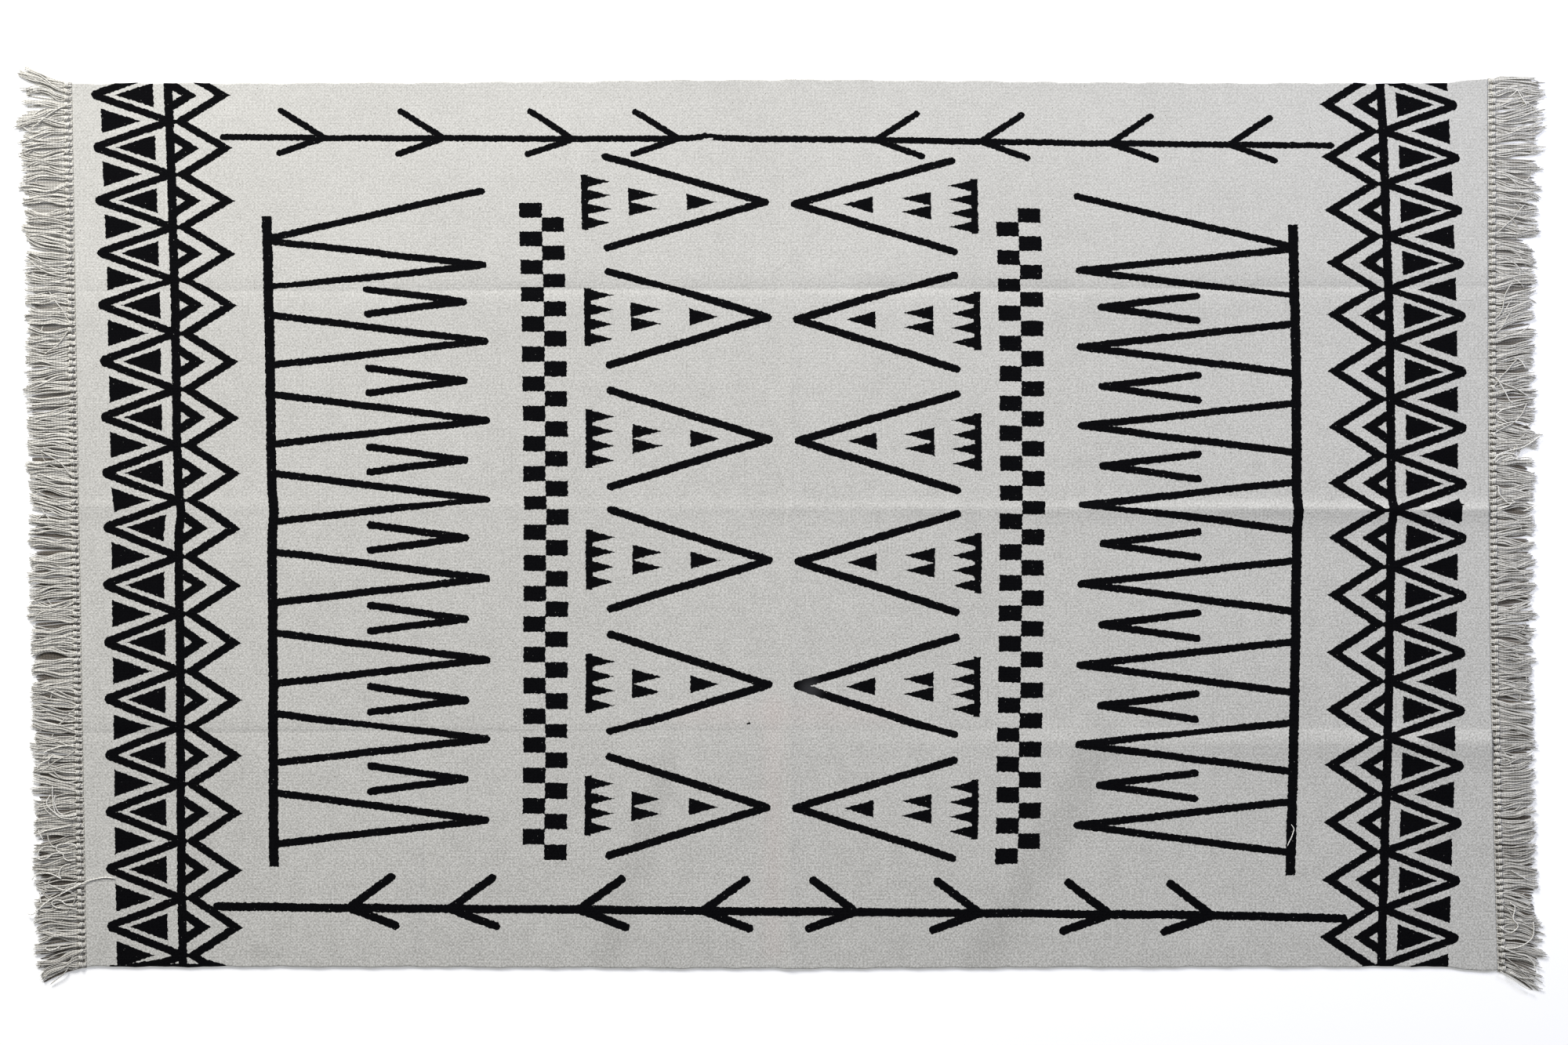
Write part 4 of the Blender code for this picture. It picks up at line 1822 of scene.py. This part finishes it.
    def build_lower(self) -> bpy.types.Object:
        """Makes the yarns that lie on the floor, evenly spread under the others.

        Their dark tones are painted shade, between and under the upper yarns. Painted light makes them
        lighter towards the upper corner, and a little lighter near the knots.

        Returns:
            The object.
        """
        chance = np.random.default_rng(self.seed + 3)
        roots = self.roots()
        per_lock = self.lower_yarns
        count = roots.size * per_lock
        s = np.linspace(0.0, 1.0, self.shaded_steps)[None, :]
        y_root = np.repeat(roots, per_lock)
        lock_length = self.lock_lengths(roots) - self.shaded_shortening
        lean = self.shaded_lean * self.lean(roots)
        lean = lean + sum(gather.lean(roots) for gather in self.all_gathers())
        heading = (lean / lock_length)[:, None] * self.lean_power * s ** (self.lean_power - 1)
        turn = chance.normal(0.0, self.shaded_turn, (count, 1))
        heading = np.repeat(heading, per_lock, axis=0) + turn
        scatter = np.abs(chance.normal(0.0, self.shaded_scatter, count))
        length = np.repeat(lock_length, per_lock) - scatter - self.cut_back(y_root)
        for snarl in self.snarls:
            share = bell(y_root - snarl.place, snarl.width * self.shaded_snarl_width)
            longer = snarl.shortening < 0
            cut = snarl.shortening / 2 if longer else snarl.shortening + self.shaded_snarl
            length = length - cut * share
        reach, sideways = self.run(heading, s, length[:, None])
        pitch = roots[1] - roots[0]
        seat = np.tile((np.arange(per_lock) + 0.5) / per_lock - 0.5, self.locks) * pitch
        x = self.end_x(y_root)[:, None] + self.end.value * (self.mesh_gap + self.band_depth + reach)
        y = y_root[:, None] + seat[:, None] + sideways
        radius = np.full(x.shape, self.shaded_radius) * np.interp(s, [0.0, 0.85, 1.0], [1.0, 1.0, 0.4])
        z = radius + self.rest_gap
        # Painted light: lighter tones towards the upper corner, and near the knots
        painted_light = self.painted_light_share * np.clip(y_root / self.outline.width * 2, 0.0, 1.0) ** 2
        root_light = self.root_light * bell(reach, self.root_light_reach)
        tones = (chance.uniform(*self.shaded_tones, count) + painted_light)[:, None] + root_light
        paths = np.stack([x, y, z], axis=-1)
        return tubes(self.name(Layer.LOWER.value), paths, radius, tones, self.shaded_sides)

    def build_knots(self) -> bpy.types.Object:
        """Makes the wraps of all knots.

        A wrap is a helix of two turns round the neck of its lock, with an oval section, tilted so
        that its upper half runs slantwise, as in an overhand knot pulled tight.

        Returns:
            The object.
        """
        chance = np.random.default_rng(self.seed + 1)
        roots = self.roots()[:, None]
        count = self.locks
        turn = np.linspace(0.0, 1.0, self.wrap_steps)[None, :]
        angle = 2 * math.pi * self.wrap_turns * turn + chance.uniform(-0.5, 0.5, (count, 1)) + math.pi
        size = chance.uniform(*self.knot_sizes, (count, 1))
        tuck_in = np.interp(turn, [0.0, 0.10, 0.90, 1.0], [0.55, 1.0, 1.0, 0.55])
        tilt = chance.uniform(*self.knot_tilts, (count, 1))
        shares = [self.crossed_share, 1 - self.crossed_share]
        tilt = tilt * chance.choice([-1.0, 1.0], (count, 1), p=shares)
        y_off = self.knot_half_width * size * np.cos(angle) * tuck_in
        z_off = self.knot_half_height * size * np.sin(angle) * tuck_in
        centre = self.knot_reach + chance.normal(0.0, self.knot_scatter, (count, 1))
        reach = centre + (turn - 0.5) * self.wrap_turns * self.knot_pitch + tilt * y_off
        x = self.end_x(roots) + self.end.value * (self.mesh_gap + self.band_depth + reach)
        y = roots + self.lean(roots) * (self.knot_reach / self.length) ** self.lean_power + y_off
        z = self.knot_middle + z_off
        radius = self.wrap_radius * size * np.ones_like(turn)
        z = np.maximum(z, radius + self.rest_gap)
        tones = chance.uniform(*self.yarn_tones, count)
        return tubes(self.name("knots"), np.stack([x, y, z], axis=-1), radius, tones, self.wrap_sides)

    def build_twine(self) -> bpy.types.Object:
        """Makes the last two wefts, twisted about each other along the cloth's end.

        Two helices of one pitch and opposite phase run from corner to corner, between the cloth's end
        and the knots.

        Returns:
            The object.
        """
        roots = self.roots()
        past = self.corner_margin / 2
        y = np.arange(roots[0] - past, roots[-1] + past, self.twine_step)
        turn = 2 * math.pi * y / self.twine_pitch + np.array([[0.0], [math.pi]])
        swing = self.twine_swing * self.twine_radius
        out = self.mesh_gap + self.twine_place + swing * self.twine_flatness * np.cos(turn)
        x = self.end_x(y) + self.end.value * out
        z = self.twine_height + swing * np.sin(turn)
        paths = np.stack([x, np.broadcast_to(y, x.shape), z], axis=-1)
        radius = np.full(x.shape, self.twine_radius)
        return tubes(self.name("twine"), paths, radius, np.array(self.twine_tones), self.yarn_sides)

    def build_loose(self) -> bpy.types.Object:
        """Makes the yarns that came out of their locks and lie in curls over the others.

        Their height follows the distance from the cloth's end: lowest on the cloth, highest on the
        knots, and falling again towards the tips.

        Returns:
            The object.
        """
        chance = np.random.default_rng(self.seed + 5)
        flat = np.stack([smooth_path(np.array(points), self.loose_steps) for points in self.loose])
        out = (flat[..., 0] - self.end_x(flat[..., 1])) * self.end.value
        height = np.interp(out, self.loose_reach, self.loose_height)
        paths = np.concatenate([flat, height[..., None]], axis=-1)
        size = chance.uniform(*self.loose_sizes, (len(self.loose), 1))
        radius = self.loose_radius * size * np.ones_like(out)
        tones = chance.uniform(*self.loose_tones, len(self.loose))
        return tubes(self.name("loose_yarns"), paths, radius, tones, self.yarn_sides)

    def build(self) -> list[bpy.types.Object]:
        """Makes this fringe's pieces: both layers of yarns, the knots, the twined wefts, loose yarns."""
        return [
            self.build_upper(),
            self.build_lower(),
            self.build_knots(),
            self.build_twine(),
            self.build_loose(),
        ]


@dataclass(frozen=True)
class Lint:
    """A short white thread that lies on the cloth, by the points that it passes."""

    points: tuple[tuple[float, float], ...] = LINT_PATH
    radius: float = 0.0008
    steps: int = 24
    sides: int = 6

    def build(self, rug: RugCloth) -> bpy.types.Object:
        """Makes the thread, which rests on the cloth's upper face.

        Args:
            rug: The cloth.

        Returns:
            The object.
        """
        flat = smooth_path(np.array(self.points), self.steps)
        height = rug.floor_gap(flat[:, 0], flat[:, 1]) + rug.thickness + self.radius * 0.9
        paths = np.concatenate([flat, height[:, None]], axis=-1)[None]
        last = self.steps - 1
        taper = np.interp(np.arange(self.steps), [0, 3, last - 3, last], [0.5, 1, 1, 0.5])
        return tubes("cloth_lint", paths, self.radius * taper[None], np.array([1.0]), self.sides)


# The studio


@dataclass(frozen=True)
class Lamp:
    """A soft rectangular lamp."""

    name: str
    place: tuple[float, float, float]
    aim: tuple[float, float, float]
    size: float
    power: float
    colour: str = "#FFFFFF"

    def build(self) -> None:
        """Makes the lamp and turns it to the point that it lights."""
        data = bpy.data.lights.new(self.name, "AREA")
        data.shape = "SQUARE"
        data.size = self.size
        data.energy = self.power
        data.color = linear(self.colour)[:3]
        lamp = bpy.data.objects.new(self.name, data)
        bpy.context.scene.collection.objects.link(lamp)
        lamp.location = self.place
        way = np.array(self.aim) - np.array(self.place)
        level = math.hypot(way[0], way[1])
        lamp.rotation_euler = (math.atan2(level, -way[2]), 0.0, math.atan2(-way[0], way[1]))


@dataclass(frozen=True)
class Studio:
    """A white floor, soft lamps and a camera that looks straight down."""

    floor_half: float = 9.0
    floor_drop: float = 0.0002
    camera_height: float = 6.0
    frame_width: float = 2.6548
    frame_middle_y: float = 0.0033
    sky: str = "#F6F8FA"
    sky_strength: float = 0.29
    lamps: tuple[Lamp, ...] = (
        Lamp("key_light", (-2.4, 4.2, 2.8), (0.0, 0.0, 0.0), 1.6, 398.0, "#FFFDF9"),
        Lamp("fill_light", (3.2, 2.6, 3.0), (0.0, 0.0, 0.0), 1.6, 123.0, "#E7EBFF"),
    )

    def build_floor(self, finish: PaleFloor) -> None:
        """Makes the floor as one large square just under the rug.

        Args:
            finish: What it is painted with.
        """
        size = self.floor_half
        mesh = bpy.data.meshes.new("floor")
        corners = [(-size, -size), (size, -size), (size, size), (-size, size)]
        mesh.from_pydata([(x, y, -self.floor_drop) for x, y in corners], [], [(0, 1, 2, 3)])
        mesh.materials.append(finish.material())
        floor = bpy.data.objects.new("floor", mesh)
        bpy.context.scene.collection.objects.link(floor)

    def build_light(self) -> None:
        """Makes the lamps and an even pale sky."""
        for lamp in self.lamps:
            lamp.build()
        world = bpy.data.worlds.new("studio")
        world.use_nodes = True
        world.node_tree.nodes.clear()
        sky = add_node(
            world.node_tree,
            "ShaderNodeBackground",
            {},
            {"Color": linear(self.sky), "Strength": self.sky_strength},
        )
        add_node(world.node_tree, "ShaderNodeOutputWorld", {}, {"Surface": sky})
        bpy.context.scene.world = world
        bpy.context.scene.view_settings.view_transform = "Standard"

    def build_camera(self) -> None:
        """Makes a camera with a long lens over the rug's middle, whose picture is as wide as the frame."""
        data = bpy.data.cameras.new("camera")
        data.lens = data.sensor_width * self.camera_height / self.frame_width
        data.clip_end = 50.0
        camera = bpy.data.objects.new("camera", data)
        bpy.context.scene.collection.objects.link(camera)
        camera.location = (0.0, self.frame_middle_y, self.camera_height)
        bpy.context.scene.camera = camera


def register(piece: bpy.types.Object, node: str) -> None:
    """Ties a piece to the rug's body and hides the solid that it stands for.

    Args:
        piece: The piece.
        node: The solid that it replaces.
    """
    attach(piece, "root")
    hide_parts(node)
    LOG.info("%s: %d faces, for %s", piece.name, len(piece.data.polygons), node)


def main() -> None:
    """Builds and dresses the rug, then the studio."""
    logging.basicConfig(level=logging.INFO, format="%(name)s: %(message)s")
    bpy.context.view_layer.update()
    outline = ClothOutline()
    rug = RugCloth(outline=outline)
    cloth = rug.build()
    rug.dress(cloth, WovenCotton(), PrintedDesign())
    register(cloth, "cloth")
    yarn = PliedCotton().material()
    # A paler yarn for the lint and the loose yarns
    pale_yarn = PliedCotton(name="cotton_plied_yarn_pale", light="#F1EFE8").material()
    fringes = (
        Fringe(
            end=End.LEFT,
            length=0.083,
            upper_extra=0.0,
            upper_spread=0.030,
            lower_spread=0.042,
            seed=11,
            phase=0.7,
            gathers=(
                Gather(0.7200, 0.019, -0.0105),
                Gather(0.4580, 0.008, -0.0035),
                Gather(0.4340, 0.008, -0.0035),
                Gather(0.4140, 0.014, 0.0060),
                Gather(0.3800, 0.014, 0.0060),
                Gather(-0.5030, 0.008, -0.0040),
                Gather(-0.5630, 0.008, -0.0040),
                Gather(-0.6170, 0.008, -0.0045),
            ),
            snarls=(
                Snarl(0.765, 0.030, -0.007, 0.0),
                Snarl(0.690, 0.018, -0.010, 0.0),
                Snarl(0.680, 0.120, -0.011, 0.0),
            ),
            length_jitter=0.0014,
            painted_light_share=1.05,
            loose=LEFT_LOOSE_YARNS,
            outline=outline,
        ),
        Fringe(
            end=End.RIGHT,
            length=0.074,
            upper_extra=0.009,
            upper_spread=-0.005,
            lower_spread=0.022,
            seed=23,
            phase=2.9,
            gathers=(
                Gather(0.640, 0.014, 0.0040),
                Gather(0.4805, 0.009, -0.0060),
                Gather(0.154, 0.022, 0.0100),
                Gather(0.121, 0.010, -0.0030),
                Gather(-0.0190, 0.008, -0.0040),
                Gather(-0.0500, 0.008, -0.0040),
            ),
            snarls=(
                Snarl(0.121, 0.0085, 0.020, 4.2),
                Snarl(0.160, 0.014, -0.020, 0.0),
                Snarl(0.680, 0.130, -0.020, 0.0),
                Snarl(-0.700, 0.060, -0.022, 0.0),
            ),
            tuft_spacing=0.0248,
            tuft_depth=0.0135,
            tuft_pull=0.0052,
            loose=RIGHT_LOOSE_YARNS,
            outline=outline,
        ),
    )
    lint = Lint().build(rug)
    lint.data.materials.append(pale_yarn)
    register(lint, "cloth")
    for fringe in fringes:
        for piece in fringe.build():
            piece.data.materials.append(pale_yarn if "loose" in piece.name else yarn)
            register(piece, f"fringe_{fringe.end.name.lower()}")
    studio = Studio()
    studio.build_floor(PaleFloor())
    studio.build_light()
    studio.build_camera()


if __name__ == "__main__":
    main()
